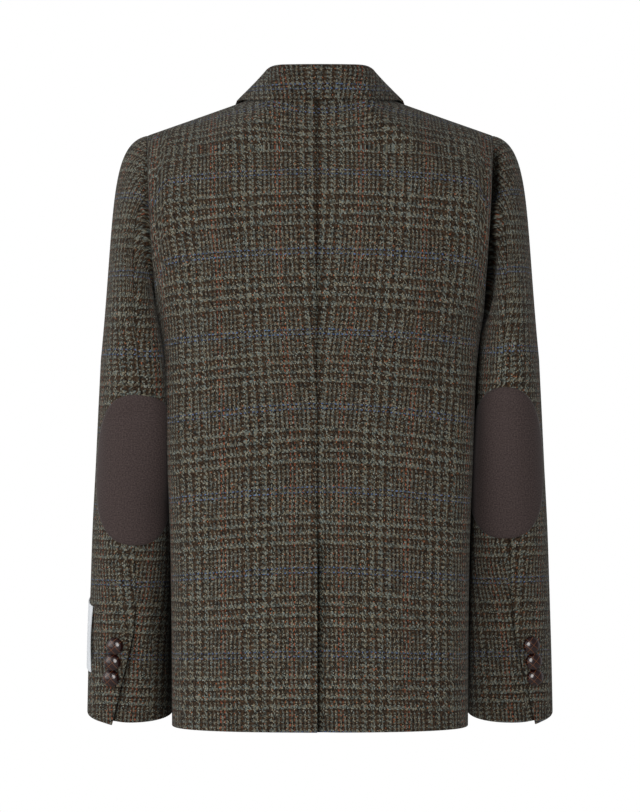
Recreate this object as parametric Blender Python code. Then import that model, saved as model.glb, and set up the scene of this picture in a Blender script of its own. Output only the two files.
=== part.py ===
"""A tweed hacking jacket, worn and hollow, as the separate pieces that are cut and sewn.

Metres, +Z up. The front faces -Y and the wearer's left is +X. The origin is the centre of the neck
at side-neck height, where the wearer carries the jacket.

Every cloth piece is a patch of one of three forms: the body, a sleeve or the collar. A form gives a
point for two places along the cloth and an inset below its outer face, so a piece is a grid of
points on the form, walled by the same grid at a deeper inset. What lies on a panel is the same
form moved outwards.
"""

import math
from collections import namedtuple

import bmesh
import bpy
import numpy as np

# Cloth
WALL = 0.0022  # tweed with its interlining
SEAM_GAP = 0.0003  # between two pieces that are sewn edge to edge
LAP_GAP = 0.0007  # between a piece and the one that it lies on
LAP_INSET = WALL + LAP_GAP  # how far a piece drops to pass under another

# Body
HEM_HEIGHT = -0.685
BACK_SEAM_X = 0.003  # the centre-back seam sits a little to the wearer's left
BACK_SQUARE = 2.6  # exponent of the back's section, a superellipse
FRONT_SQUARE = 2.3  # the same of the front's
ROUND_AT_NECK = 0.045  # drop below the shoulder line over which the cloth rounds to full depth
ROUND_AT_SHOULDER = 0.090

# Shoulder line: a straight slope, which climbs steeply inside the neck
SHOULDER_SLOPE = 0.35
SHOULDER_AT = 0.118
SHOULDER_HEIGHT = -0.0143
NECK_RISE = 0.10
NECK_REACH = 0.085
NECK_HALF_WIDTH = 0.073
NECK_HEIGHT = 0.003  # of the collar seam

# Armhole: its highest and lowest points, and how far the front is scooped
SHOULDER_X = 0.190
UNDERARM_HEIGHT = -0.239
SCYE_FRONT_SCOOP = 0.0145

# Centre vent
VENT_TOP = -0.481
VENT_UNDERLAP = 0.035
VENT_DIP_WIDTH = 0.004  # over which the underlap drops below the left back's edge

# Front edge: roll line, straight edge past the centre, and rounded quarter
FRONT_LAP = 0.020
BREAK_HEIGHT = -0.285
QUARTER_START = -0.480
QUARTER_END_X = 0.105
QUARTER_CORNER = math.radians(52)  # turn of the quarter at which the edge becomes the hem
FRONT_HEM_HEIGHT = -0.692
ROLL_TOP_X = 0.064
ROLL_TOP_HEIGHT = -0.020
RIGHT_EDGE_SHORT = 0.002  # how much less the right front, which is beneath, reaches past the centre
UNDER_FROM_X = 0.052  # the right front drops between these places across
UNDER_TO_X = 0.030
UNDER_FROM_HEIGHT = -0.160  # and between these heights
UNDER_TO_HEIGHT = -0.200

# Sleeve
BICEP_HEIGHT = -0.285
CUFF_HEIGHT = -0.6800
CAP_LEAVE = (0.011, 0.044)  # handles of the cap's curves at the armhole, underarm and shoulder
CAP_ARRIVE = (0.018, 0.162)  # and at the bicep
CAP_LEAN = (0.06, -0.10)  # outward lean of the bicep's handle
CAP_FALL = 0.20  # slope at which the cap's top leaves the shoulder line
CAP_TOP_GAP = 0.0006  # added to the seam's gap there, where the cap's wall leans back
SLEEVE_SQUARE = 2.15
CUFF_VENT_TOP = -0.562
CUFF_UNDERLAP = math.radians(20)
CUFF_TIP_DROP = 0.0030  # the top sleeve's hem at the vent hangs lower than the under sleeve's

# Collar and lapels
COLLAR_FOLD_RADIUS = 0.0024
FALL_BELLY = 0.0015
FALL_GAP = 0.0016  # between the fall's edge and the back
NECK_SEAM_GAP = 0.0010  # between the stand and the neck edges, which bend at different places
LAPEL_TOP_HEIGHT = -0.036
LAPEL_TIP = (0.126, -0.077)  # across, height
LAPEL_END_HEIGHT = -0.272
RIGHT_LAPEL_END_HEIGHT = -0.205  # it stops where the left front covers it
LAPEL_BELLY = 0.010
LAPEL_ROLL = 0.003  # how far the lapel stands off the front at the roll line
LAPEL_FOOT = (0.012, -0.004)  # its lower end, across and down from the roll line's

# Elbow patch: an oval laid round the sleeve
PATCH_TURN = 99.0
PATCH_HALF_TURN = 72.0
PATCH_HEIGHT = -0.401
RIGHT_PATCH_RISE = 0.0075
PATCH_HALF_HEIGHT = 0.079
PATCH_SQUARE = 2.2
PATCH_THICKNESS = 0.0013
PATCH_GAP = 0.0010

# Pocket flap: slants down from the front to the side
FLAP_FRONT_ANGLE = math.radians(24)
FLAP_SIDE_ANGLE = math.radians(70)
FLAP_HEIGHT = -0.452  # of its upper edge, at the front end
FLAP_SLANT = 0.040
FLAP_DEPTH = 0.054
FLAP_CORNER = 0.010

# Cuff label, tacked at its corners
LABEL_TURNS = (-24.0, 23.0)
LABEL_HEIGHTS = (-0.553, -0.628)
LABEL_THICKNESS = 0.0010
LABEL_BULGE = 0.0030

# Buttons
CUFF_BUTTON_RADIUS = 0.0086
CUFF_BUTTON_HEIGHT = 0.0068
FRONT_BUTTON_RADIUS = 0.0108
FRONT_BUTTON_HEIGHT = 0.0082
FRONT_BUTTON_HEIGHTS = (-0.297, -0.387, -0.477)
BUTTON_GAP = 0.0005  # between a button's base and the form of the cloth

Material = namedtuple("Material", "name colour roughness")
TWEED = Material("tweed", (0.060, 0.053, 0.043), 0.95)
PATCH = Material("patch_suede", (0.056, 0.041, 0.038), 0.85)
LEATHER = Material("button_leather", (0.030, 0.010, 0.008), 0.30)
LABEL = Material("label_cloth", (0.62, 0.60, 0.55), 0.80)

# The body's horizontal sections, from the neck down: half the width, the centre line's distance
# behind and in front of the shoulder line, and how far back the widest place lies.
BodyRow = namedtuple("BodyRow", "height half_width back front side")
BODY = (
    BodyRow(0.020, 0.204, 0.056, 0.060, 0.000),
    BodyRow(0.000, 0.205, 0.064, 0.068, 0.000),
    BodyRow(-0.045, 0.206, 0.082, 0.086, -0.002),
    BodyRow(-0.100, 0.208, 0.093, 0.106, -0.006),
    BodyRow(-0.150, 0.204, 0.097, 0.120, -0.010),
    BodyRow(-0.200, 0.189, 0.0965, 0.128, -0.010),
    BodyRow(-0.240, 0.179, 0.094, 0.130, -0.006),
    BodyRow(-0.290, 0.172, 0.088, 0.126, 0.002),
    BodyRow(-0.340, 0.169, 0.083, 0.120, 0.010),
    BodyRow(-0.400, 0.167, 0.084, 0.116, 0.014),
    BodyRow(-0.480, 0.164, 0.090, 0.118, 0.016),
    BodyRow(-0.560, 0.1625, 0.095, 0.121, 0.018),
    BodyRow(-0.700, 0.1615, 0.099, 0.124, 0.020),
)

# The sleeve's rings below the armhole: the centre, half the width across, half the depth from
# front to back, and how far the ring tips as the forearm comes forward.
SleeveRow = namedtuple("SleeveRow", "height centre_x centre_y half_width half_depth tilt")
SLEEVE = (
    SleeveRow(-0.285, 0.2078, -0.012, 0.0337, 0.066, 0.0),
    SleeveRow(-0.340, 0.2077, -0.018, 0.0371, 0.064, 3.0),
    SleeveRow(-0.400, 0.2078, -0.026, 0.0405, 0.061, 6.0),
    SleeveRow(-0.470, 0.2080, -0.037, 0.0448, 0.057, 9.0),
    SleeveRow(-0.540, 0.2087, -0.050, 0.0475, 0.052, 12.0),
    SleeveRow(-0.610, 0.2108, -0.065, 0.0487, 0.046, 14.0),
    SleeveRow(-0.700, 0.2150, -0.087, 0.0482, 0.037, 15.5),
)

# The two seams of a sleeve, in degrees round it from the outside (90 is the back, -90 the front).
SleeveSeam = namedtuple("SleeveSeam", "height hind fore")
SLEEVE_SEAMS = (
    SleeveSeam(-0.100, 72.0, -112.0),
    SleeveSeam(-0.285, 104.0, -124.0),
    SleeveSeam(-0.385, 107.0, -125.0),
    SleeveSeam(-0.480, 96.0, -125.0),
    SleeveSeam(-0.562, 95.0, -125.0),
    SleeveSeam(-0.606, 87.5, -125.0),
    SleeveSeam(-0.650, 77.0, -125.0),
    SleeveSeam(-0.690, 67.0, -125.0),
)

# The collar at stations from the centre back round the neck to its front end. The seam and the
# edge of the fall are places on the body, across and height; the fold is a point in space.
CollarRow = namedtuple("CollarRow", "face seam_x seam_height fold_x fold_y fold_z edge_x edge_height")
COLLAR = (
    CollarRow(1, 0.0000, 0.0030, 0.0000, 0.0600, 0.0315, 0.000, -0.0065),
    CollarRow(1, 0.0300, 0.0030, 0.0270, 0.0575, 0.0315, 0.034, -0.0065),
    CollarRow(1, 0.0530, 0.0032, 0.0485, 0.0450, 0.0318, 0.061, -0.0065),
    CollarRow(1, 0.0680, 0.0037, 0.0570, 0.0220, 0.0285, 0.079, -0.0058),
    CollarRow(0, 0.0730, 0.0040, 0.0600, -0.0040, 0.0235, 0.0905, -0.0040),
    CollarRow(-1, 0.0700, -0.0030, 0.0615, -0.0360, 0.0120, 0.098, -0.0200),
    CollarRow(-1, 0.0665, -0.0130, 0.0620, -0.0640, -0.0010, 0.106, -0.0400),
    CollarRow(-1, 0.0610, -0.0290, 0.0575, -0.0830, -0.0190, 0.108, -0.0600),
)


# --- curves and forms --------------------------------------------------------------------------


def smooth(knots, values, at):
    """Cubic through rising knots, its slope at each taken from the neighbours."""
    knots, values = np.asarray(knots, float), np.asarray(values, float)
    at = np.clip(at, knots[0], knots[-1])
    step = np.diff(knots)
    slope = np.diff(values) / step
    middle = (slope[:-1] * step[1:] + slope[1:] * step[:-1]) / (step[:-1] + step[1:])
    tangent = np.concatenate([slope[:1], middle, slope[-1:]])
    left = np.clip(np.searchsorted(knots, at, side="right") - 1, 0, len(step) - 1)
    t = (at - knots[left]) / step[left]
    along = step[left]
    return (
        (2 * t**3 - 3 * t**2 + 1) * values[left]
        + (t**3 - 2 * t**2 + t) * along * tangent[left]
        + (3 * t**2 - 2 * t**3) * values[left + 1]
        + (t**3 - t**2) * along * tangent[left + 1]
    )


def by_height(rows, name, height):
    """A named column of a table at a height; the table's rows run downwards."""
    return smooth([-row.height for row in rows], [getattr(row, name) for row in rows], -height)


def ease(t):
    """0 up to t = 0 and 1 from t = 1, smooth between."""
    t = np.clip(t, 0, 1)
    return t * t * (3 - 2 * t)


def ridge(x):
    """Height of the shoulder line over a place across the body."""
    across = np.abs(x)
    slope = SHOULDER_HEIGHT - SHOULDER_SLOPE * (across - SHOULDER_AT)
    return slope + NECK_RISE * np.clip(1 - (across / NECK_REACH) ** 2, 0, None) ** 3


def section_exponent(face):
    return np.where(np.asarray(face) > 0, BACK_SQUARE, FRONT_SQUARE)


def angle_at(x, height, face):
    """Angle round the body's section, 0 at the centre line and a quarter turn at the side."""
    part = np.clip(np.abs(x) / by_height(BODY, "half_width", height), 0, 1)
    return np.sign(x) * np.arcsin(part ** (section_exponent(face) / 2))


def body_point(angle, height, face, inset=0.0):
    """Point of the body's form; face is 1 on the back and -1 on the front."""
    angle, height, face, inset = np.broadcast_arrays(angle, height, face, inset)
    power = 2 / section_exponent(face)
    across = np.sign(np.sin(angle)) * np.abs(np.sin(angle)) ** power
    out = np.abs(np.cos(angle)) ** power
    half_width = by_height(BODY, "half_width", height)
    side = by_height(BODY, "side", height)
    back, front = by_height(BODY, "back", height), by_height(BODY, "front", height)
    depth = np.where(face > 0, back, front)
    x = half_width * across
    widening = ease((np.abs(x) - NECK_HALF_WIDTH) / NECK_REACH)
    rounding = ROUND_AT_NECK + (ROUND_AT_SHOULDER - ROUND_AT_NECK) * widening
    drop = np.clip((ridge(x) - height) / rounding, 0, 1)
    swell = np.sqrt(1 - (1 - drop) ** 2)
    level = np.hypot(swell, 1 - swell)
    flat = inset * swell / level
    x = (half_width - flat) * across
    y = (side + out * (face * (depth - flat) - side)) * swell
    return np.stack([x, y, height - inset * (1 - swell) / level], axis=-1)


def armhole_place(turn):
    """Angle, height and face of the armhole's seam: a turn of 0 is the shoulder, pi underarm."""
    low = (1 - np.cos(turn)) / 2
    height = ridge(SHOULDER_X) * (1 - low) + UNDERARM_HEIGHT * low
    face = np.where(np.sin(turn) < 0, -1, 1)
    x = SHOULDER_X * (1 - low) + by_height(BODY, "half_width", UNDERARM_HEIGHT) * low
    x = x - np.where(face < 0, SCYE_FRONT_SCOOP * np.sin(turn) ** 2, 0)
    return angle_at(x, height, face), height, face


def sleeve_ring(height, turn):
    """Point of a sleeve's ring whose centre is at a height."""
    power = 2 / SLEEVE_SQUARE
    across = np.sign(np.cos(turn)) * np.abs(np.cos(turn)) ** power
    deep = np.sign(np.sin(turn)) * np.abs(np.sin(turn)) ** power
    x = by_height(SLEEVE, "centre_x", height)
    x = x + by_height(SLEEVE, "half_width", height) * across
    reach = by_height(SLEEVE, "half_depth", height) * deep
    tilt = np.radians(by_height(SLEEVE, "tilt", height))
    y = by_height(SLEEVE, "centre_y", height) + reach * np.cos(tilt)
    return np.stack([x, y, height - reach * np.sin(tilt)], axis=-1)


def sleeve_surface(along, turn):
    """Point of the sleeve's form. along is 0 at the armhole, 1 at the bicep and 2 at the cuff.

    The cap is a cubic curve at each turn: it leaves the armhole outwards at the shoulder and
    upwards at the underarm, and comes into the bicep's ring downwards.
    """
    along, turn = np.broadcast_arrays(along, turn)
    tube_height = BICEP_HEIGHT + (CUFF_HEIGHT - BICEP_HEIGHT) * np.clip(along - 1, 0, None)
    tube = sleeve_ring(tube_height, turn)
    top = (1 + np.cos(turn)) / 2
    rise = 1 - top - CAP_FALL * top**4
    outward = np.stack([np.sqrt(top) + 0.9 * (1 - top), -0.5 * np.sin(turn), rise], axis=-1)
    outward /= np.linalg.norm(outward, axis=-1, keepdims=True)
    gap = (SEAM_GAP + CAP_TOP_GAP * top**4)[..., None]
    start = body_point(*armhole_place(turn)) + gap * outward
    leave = (CAP_LEAVE[0] + (CAP_LEAVE[1] - CAP_LEAVE[0]) * top**1.5)[..., None]
    arrive = (CAP_ARRIVE[0] + (CAP_ARRIVE[1] - CAP_ARRIVE[0]) * top**1.2)[..., None]
    lean = CAP_LEAN[0] + (CAP_LEAN[1] - CAP_LEAN[0]) * top
    up = np.stack([lean, np.zeros_like(lean), np.ones_like(lean)], axis=-1)
    t = np.clip(along, 0, 1)[..., None]
    cap = (
        (1 - t) ** 3 * start
        + 3 * t * (1 - t) ** 2 * (start + leave * outward)
        + 3 * t**2 * (1 - t) * (tube + arrive * up)
        + t**3 * tube
    )
    return np.where(along[..., None] < 1, cap, tube)


def sleeve_normal(along, turn, step=1e-3):
    """Outward normal of the sleeve's form, from its slopes down the sleeve and round it."""
    down = sleeve_surface(along + step, turn) - sleeve_surface(np.maximum(along - step, 0), turn)
    around = sleeve_surface(along, turn + step) - sleeve_surface(along, turn - step)
    normal = np.cross(down, around)
    return normal / np.linalg.norm(normal, axis=-1, keepdims=True)


def sleeve_point(along, turn, inset=0.0):
    """Point below the sleeve's form by an inset, or above it by a negative one."""
    along, turn, inset = np.broadcast_arrays(along, turn, inset)
    return sleeve_surface(along, turn) - inset[..., None] * sleeve_normal(along, turn)


# --- meshes ------------------------------------------------------------------------------------


def material(kind):
    found = bpy.data.materials.get(kind.name)
    if found:
        return found
    made = bpy.data.materials.new(kind.name)
    made.use_nodes = True
    shader = made.node_tree.nodes["Principled BSDF"]
    shader.inputs["Base Color"].default_value = (*kind.colour, 1.0)
    shader.inputs["Roughness"].default_value = kind.roughness
    return made


def add_object(name, points, faces, kind):
    """Mesh object with its faces turned outwards, smooth but for its edges."""
    mesh = bpy.data.meshes.new(name)
    mesh.from_pydata([tuple(point) for point in points], [], faces)
    cage = bmesh.new()
    cage.from_mesh(mesh)
    bmesh.ops.triangulate(cage, faces=cage.faces)
    if cage.calc_volume(signed=True) < 0:
        bmesh.ops.reverse_faces(cage, faces=cage.faces)
    cage.to_mesh(mesh)
    cage.free()
    mesh.shade_smooth()
    mesh.set_sharp_from_angle(angle=math.radians(40))
    mesh.materials.append(material(kind))
    made = bpy.data.objects.new(name, mesh)
    bpy.context.scene.collection.objects.link(made)
    return made


def add_shell(name, outer, inner, kind, present=None, mirrored=False):
    """Closed wall between two grids of points, over the grid's cells that are present."""
    rows, columns = outer.shape[:2]
    if present is None:
        present = np.ones((rows - 1, columns - 1), bool)
    index = np.arange(rows * columns).reshape(rows, columns)
    under = index + rows * columns
    faces = []
    edges = {}
    for r, c in zip(*np.nonzero(present)):
        ring = ((r, c), (r, c + 1), (r + 1, c + 1), (r + 1, c))
        faces.append([index[place] for place in ring])
        faces.append([under[place] for place in reversed(ring)])
        for start, end in zip(ring, ring[1:] + ring[:1]):
            edges[start, end] = edges.pop((end, start), 0) + 1
    for (start, end), count in edges.items():
        if count == 1:
            faces.append([index[end], index[start], under[start], under[end]])
    points = np.concatenate([outer.reshape(-1, 3), inner.reshape(-1, 3)])
    if mirrored:
        points = points * (-1, 1, 1)
    used = np.unique(np.concatenate([np.array(face) for face in faces]))
    renumbered = {old: new for new, old in enumerate(used)}
    faces = [[renumbered[corner] for corner in face] for face in faces]
    return add_object(name, points[used], faces, kind)


def coons(start_side, end_side, top, bottom, across, down):
    """Grid of places inside four edges; each edge is a function of 0 to 1 giving (angle, height)."""
    left, right = start_side(down)[:, None], end_side(down)[:, None]
    upper, lower = top(across)[None], bottom(across)[None]
    across, down = across[None, :, None], down[:, None, None]
    corners = (
        (1 - across) * (1 - down) * upper[:, :1]
        + across * (1 - down) * upper[:, -1:]
        + (1 - across) * down * lower[:, :1]
        + across * down * lower[:, -1:]
    )
    sides = (1 - across) * left + across * right
    return sides + (1 - down) * upper + down * lower - corners


# --- body panels -------------------------------------------------------------------------------

# Turns round the armhole at which both the panels and the sleeve have points, so that their seam
# edges run together. The hind-arm seam starts at 72 degrees and the forearm seam at -112.
BACK_TURNS = (0, 8, 20, 36, 54, 72, 90, 108, 126, 144, 160, 172, 180)
FRONT_TURNS = (0, -8, -20, -36, -54, -72, -92, -112, -130, -146, -160, -172, -180)
UNDERARM_DOWN = 0.308  # of the way down a panel
SHOULDER_SEAM_TURN = math.radians(0.3)  # leaves the seam's gap at the top of the armhole
SHOULDER_SEAM_DROP = 1e-7  # and along the shoulder line, where the form is level

NECK_ACROSS = 0.36  # of the way across a panel
PANEL_ACROSS = (0, 0.12, 0.21, 0.28, 0.33, NECK_ACROSS, 0.45, 0.55, 0.65, 0.75, 0.84, 0.91, 0.96, 1)
HEM_BUNCHING = 1.3  # draws the hem's points towards the centre, as the panel's are above
VENT_DOWN = (NECK_HEIGHT - VENT_TOP) / (NECK_HEIGHT - HEM_HEIGHT)
BACK_DOWN = (0.335, 0.37, 0.41, 0.46, 0.52, 0.58, 0.64, VENT_DOWN, 0.77, 0.84, 0.92, 1)
QUARTER_DOWN = 0.66  # of the way down a front panel, where the quarter starts
QUARTER_ACROSS = 0.34  # of the way across its hem, where the quarter ends
FRONT_DOWN = (0.335, 0.37, 0.41, 0.46, 0.52, 0.58, QUARTER_DOWN, 0.73, 0.80, 0.87, 0.94, 1)
SIDE_SEAM_ANGLE = math.pi / 2 - 0.0003


def panel_rows(turns, below):
    """Places down a panel: those of the armhole's points, then those below the underarm."""
    return np.array([UNDERARM_DOWN * abs(turn) / 180 for turn in turns] + list(below))


def side_edge(face, hem):
    """A panel's outer edge: round the armhole, then down the side seam."""

    def edge(down):
        turn = face * np.clip(math.pi * down / UNDERARM_DOWN, SHOULDER_SEAM_TURN, math.pi)
        angle, height, _ = armhole_place(turn)
        below = np.clip((down - UNDERARM_DOWN) / (1 - UNDERARM_DOWN), 0, 1)
        height = np.where(below > 0, UNDERARM_HEIGHT + (hem - UNDERARM_HEIGHT) * below, height)
        angle = np.where(down >= UNDERARM_DOWN, SIDE_SEAM_ANGLE, angle)
        return np.stack([np.minimum(angle, SIDE_SEAM_ANGLE), height], axis=-1)

    return edge


def shoulder_places(x, face):
    height = ridge(x) - SHOULDER_SEAM_DROP
    return np.stack([angle_at(x, height, face), height], axis=-1)


def back_places(centre_x):
    """The back panel's (angle, height) grid, with its centre edge at a place across the body."""

    def centre(down):
        height = NECK_HEIGHT + (HEM_HEIGHT - NECK_HEIGHT) * down
        return np.stack([angle_at(centre_x, height, 1), height], axis=-1)

    def top(across):
        round_neck = np.clip(across / NECK_ACROSS, 0, 1)
        neck_x = centre_x + (NECK_HALF_WIDTH - centre_x) * np.sin(round_neck * math.pi / 2)
        neck_rise = ridge(NECK_HALF_WIDTH) - SHOULDER_SEAM_DROP - NECK_HEIGHT
        neck_height = NECK_HEIGHT + neck_rise * (neck_x / NECK_HALF_WIDTH) ** 4
        neck = np.stack([angle_at(neck_x, neck_height, 1), neck_height], axis=-1)
        out = np.clip((across - NECK_ACROSS) / (1 - NECK_ACROSS), 0, 1)
        seam = shoulder_places(NECK_HALF_WIDTH + (SHOULDER_X - NECK_HALF_WIDTH) * out, 1)
        return np.where((across <= NECK_ACROSS)[:, None], neck, seam)

    def hem(across):
        start = angle_at(centre_x, HEM_HEIGHT, 1)
        angle = start + (SIDE_SEAM_ANGLE - start) * across**HEM_BUNCHING
        return np.stack([angle, np.full_like(across, HEM_HEIGHT)], axis=-1)

    across, down = np.array(PANEL_ACROSS), panel_rows(BACK_TURNS, BACK_DOWN)
    return coons(centre, side_edge(1, HEM_HEIGHT), top, hem, across, down)


def walls(places, face, inset=0.0):
    """The outer and inner points of a wall over a grid of (angle, height) places on the body."""
    angle, height = places[..., 0], places[..., 1]
    return body_point(angle, height, face, inset), body_point(angle, height, face, inset + WALL)


def build_left_back():
    places = back_places(BACK_SEAM_X + SEAM_GAP / 2)
    add_shell("back_left", *walls(places, 1), TWEED)


def build_right_back():
    """The right back, whose vent edge dips and carries on as an underlap beneath the left's."""
    seam_x = -BACK_SEAM_X + SEAM_GAP / 2
    places = back_places(seam_x)
    down = panel_rows(BACK_TURNS, BACK_DOWN)
    vent_row = len(BACK_TURNS) + BACK_DOWN.index(VENT_DOWN)
    height = places[:, 0, 1]
    underlap = []
    for reach in (VENT_UNDERLAP, VENT_UNDERLAP / 2, VENT_DIP_WIDTH):
        underlap.append(np.stack([angle_at(seam_x - reach, height, 1), height], axis=-1))
    places = np.concatenate([np.stack(underlap, axis=1), places], axis=1)
    dips = np.zeros(places.shape[:2])
    under = ease((down - down[vent_row - 1]) / (down[vent_row] - down[vent_row - 1]))
    dips[:, :4] = LAP_INSET * under[:, None]
    present = np.ones((len(down) - 1, places.shape[1] - 1), bool)
    present[:vent_row, :3] = False
    add_shell("back_right", *walls(places, 1, dips), TWEED, present, mirrored=True)


FrontEdge = namedtuple("FrontEdge", "height x")
FRONT_EDGE = (
    FrontEdge(0.0045, NECK_HALF_WIDTH),
    FrontEdge(ROLL_TOP_HEIGHT, ROLL_TOP_X),
    FrontEdge((ROLL_TOP_HEIGHT + BREAK_HEIGHT) / 2, (ROLL_TOP_X - FRONT_LAP) / 2),
    FrontEdge(BREAK_HEIGHT, -FRONT_LAP + 0.0025),  # the roll line curves into the straight edge
    FrontEdge(BREAK_HEIGHT - 0.015, -FRONT_LAP),
    FrontEdge(BREAK_HEIGHT - 0.045, -FRONT_LAP),
    FrontEdge(QUARTER_START - 0.020, -FRONT_LAP),
)


def front_edge_x(height):
    """Across the body to the front's edge: down the neck and the roll line, then past the centre."""
    return by_height(FRONT_EDGE, "x", height)


def quarter(turn):
    """Place across and height on the front's rounded lower corner."""
    x = QUARTER_END_X - (QUARTER_END_X + FRONT_LAP) * np.cos(turn)
    return x, QUARTER_START + (FRONT_HEM_HEIGHT - QUARTER_START) * np.sin(turn)


def front_places(lap):
    """The front panel's (angle, height) grid, its edge moved in by lap where it passes centre."""
    neck_top = ridge(NECK_HALF_WIDTH) - SHOULDER_SEAM_DROP

    def edge(down):
        height = neck_top + (QUARTER_START - neck_top) * np.clip(down / QUARTER_DOWN, 0, 1)
        x = front_edge_x(height) + lap * ease(-height / 0.1)
        below = np.clip((down - QUARTER_DOWN) / (1 - QUARTER_DOWN), 0, 1)
        round_x, round_height = quarter(QUARTER_CORNER * below)
        x = np.where(below > 0, round_x + lap * (1 - below), x)
        height = np.where(below > 0, round_height, height)
        return np.stack([angle_at(x, height, -1), height], axis=-1)

    def top(across):
        return shoulder_places(NECK_HALF_WIDTH + (SHOULDER_X - NECK_HALF_WIDTH) * across, -1)

    def hem(across):
        rounded = np.clip(across / QUARTER_ACROSS, 0, 1)
        turn = QUARTER_CORNER + (math.pi / 2 - QUARTER_CORNER) * rounded
        round_x, round_height = quarter(turn)
        round_angle = angle_at(round_x, round_height, -1)
        out = np.clip((across - QUARTER_ACROSS) / (1 - QUARTER_ACROSS), 0, 1)
        start = angle_at(QUARTER_END_X, FRONT_HEM_HEIGHT, -1)
        angle = start + (SIDE_SEAM_ANGLE - start) * out
        height = FRONT_HEM_HEIGHT + (HEM_HEIGHT - FRONT_HEM_HEIGHT) * ease(out)
        straight = np.stack([angle, height], axis=-1)
        curved = np.stack([round_angle, round_height], axis=-1)
        return np.where((across <= QUARTER_ACROSS)[:, None], curved, straight)

    across, down = np.array(PANEL_ACROSS), panel_rows(FRONT_TURNS, FRONT_DOWN)
    return coons(edge, side_edge(-1, HEM_HEIGHT), top, hem, across, down)


def build_fronts():
    """Both fronts; the right drops under the left where they overlap."""
    add_shell("front_left", *walls(front_places(0.0), -1), TWEED)
    places = front_places(RIGHT_EDGE_SHORT)
    height = places[..., 1]
    x = body_point(places[..., 0], height, -1)[..., 0]
    under = ease((UNDER_FROM_X - x) / (UNDER_FROM_X - UNDER_TO_X))
    under *= ease((UNDER_FROM_HEIGHT - height) / (UNDER_FROM_HEIGHT - UNDER_TO_HEIGHT))
    add_shell("front_right", *walls(places, -1, LAP_INSET * under), TWEED, mirrored=True)


# --- collar and lapels -------------------------------------------------------------------------


def collar_curves(station):
    """Seam, fold and edge of the collar, in space, at stations along the table's rows."""
    rows = range(len(COLLAR))
    column = {
        name: smooth(rows, [getattr(row, name) for row in COLLAR], station)
        for name in CollarRow._fields
    }
    side_neck = [row.face for row in COLLAR].index(0)
    face = np.where(station <= side_neck, 1, -1)
    inward = ease(station / side_neck)
    seam_height = np.minimum(column["seam_height"], ridge(column["seam_x"]) - SHOULDER_SEAM_DROP)
    seam = body_point(angle_at(column["seam_x"], seam_height, face), seam_height, face, WALL / 2)
    into_neck = np.stack([-inward, np.zeros_like(inward), 1 - inward], axis=-1)
    into_neck /= np.linalg.norm(into_neck, axis=-1, keepdims=True)
    seam = seam + (NECK_SEAM_GAP + WALL / 2 * inward)[:, None] * into_neck
    fold = np.stack([column["fold_x"], column["fold_y"], column["fold_z"]], axis=-1)
    edge_height = np.minimum(column["edge_height"], ridge(column["edge_x"]) - SHOULDER_SEAM_DROP)
    edge_angle = angle_at(column["edge_x"], edge_height, face)
    edge = body_point(edge_angle, edge_height, face, -FALL_GAP - WALL / 2)
    return seam, fold, edge


def collar_section(seam, fold, edge):
    """Middle line of the collar's wall at each station: up the stand, over the fold, down the fall."""
    up = fold - seam
    up /= np.linalg.norm(up, axis=-1, keepdims=True)
    out = (edge - fold) - np.sum((edge - fold) * up, axis=-1, keepdims=True) * up
    out /= np.linalg.norm(out, axis=-1, keepdims=True)
    centre = fold - COLLAR_FOLD_RADIUS * up
    away = edge - centre
    lean = np.arctan2(np.sum(away * out, axis=-1), -np.sum(away * up, axis=-1))[:, None]
    line = [seam, 0.5 * seam + 0.5 * (centre - COLLAR_FOLD_RADIUS * out)]
    for part in (0, 0.25, 0.5, 0.75, 1):
        turn = math.pi + (lean - math.pi) * part
        line.append(centre + COLLAR_FOLD_RADIUS * (np.cos(turn) * out + np.sin(turn) * up))
    start = line[-1]
    belly = np.cos(lean) * out + np.sin(lean) * up
    for part in (0.35, 0.7, 1):
        line.append(start + (edge - start) * part + 4 * part * (1 - part) * FALL_BELLY * belly)
    return np.stack(line, axis=1)


def build_collar():
    steps = 2 * (len(COLLAR) - 1)
    station = np.linspace(0, len(COLLAR) - 1, steps + 1)
    left = collar_section(*collar_curves(station))
    line = np.concatenate([left[:0:-1] * (-1, 1, 1), left])
    along = np.gradient(line, axis=0)
    across = np.gradient(line, axis=1)
    normal = np.cross(across, along)
    normal /= np.linalg.norm(normal, axis=-1, keepdims=True)
    add_shell("collar", line + normal * WALL / 2, line - normal * WALL / 2, TWEED)


def build_lapel(name, end_height, mirrored):
    """A lapel on the outside of its front: from the roll line out to its edge, gorge to break."""
    down = np.linspace(0, 1, 15)[:, None]
    across = np.array((0, 0.08, 0.2, 0.4, 0.6, 0.8, 1))[None, :]
    roll_height = LAPEL_TOP_HEIGHT + (end_height - LAPEL_TOP_HEIGHT) * down
    roll_x = front_edge_x(roll_height)
    end_x = front_edge_x(end_height) + LAPEL_FOOT[0]
    edge_x = LAPEL_TIP[0] + (end_x - LAPEL_TIP[0]) * down
    edge_x = edge_x + LAPEL_BELLY * np.sin(math.pi * down)
    edge_height = LAPEL_TIP[1] + (end_height + LAPEL_FOOT[1] - LAPEL_TIP[1]) * down
    x = roll_x + (edge_x - roll_x) * across
    height = roll_height + (edge_height - roll_height) * across
    lift = -LAP_GAP - LAPEL_ROLL * (1 - across) ** 2 * np.ones_like(down)
    angle = angle_at(x, height, -1)
    outer = body_point(angle, height, -1, lift - WALL)
    inner = body_point(angle, height, -1, lift)
    add_shell(name, outer, inner, TWEED, mirrored=mirrored)


def build_lapels():
    build_lapel("lapel_left", LAPEL_END_HEIGHT, False)
    build_lapel("lapel_right", RIGHT_LAPEL_END_HEIGHT, True)


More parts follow.
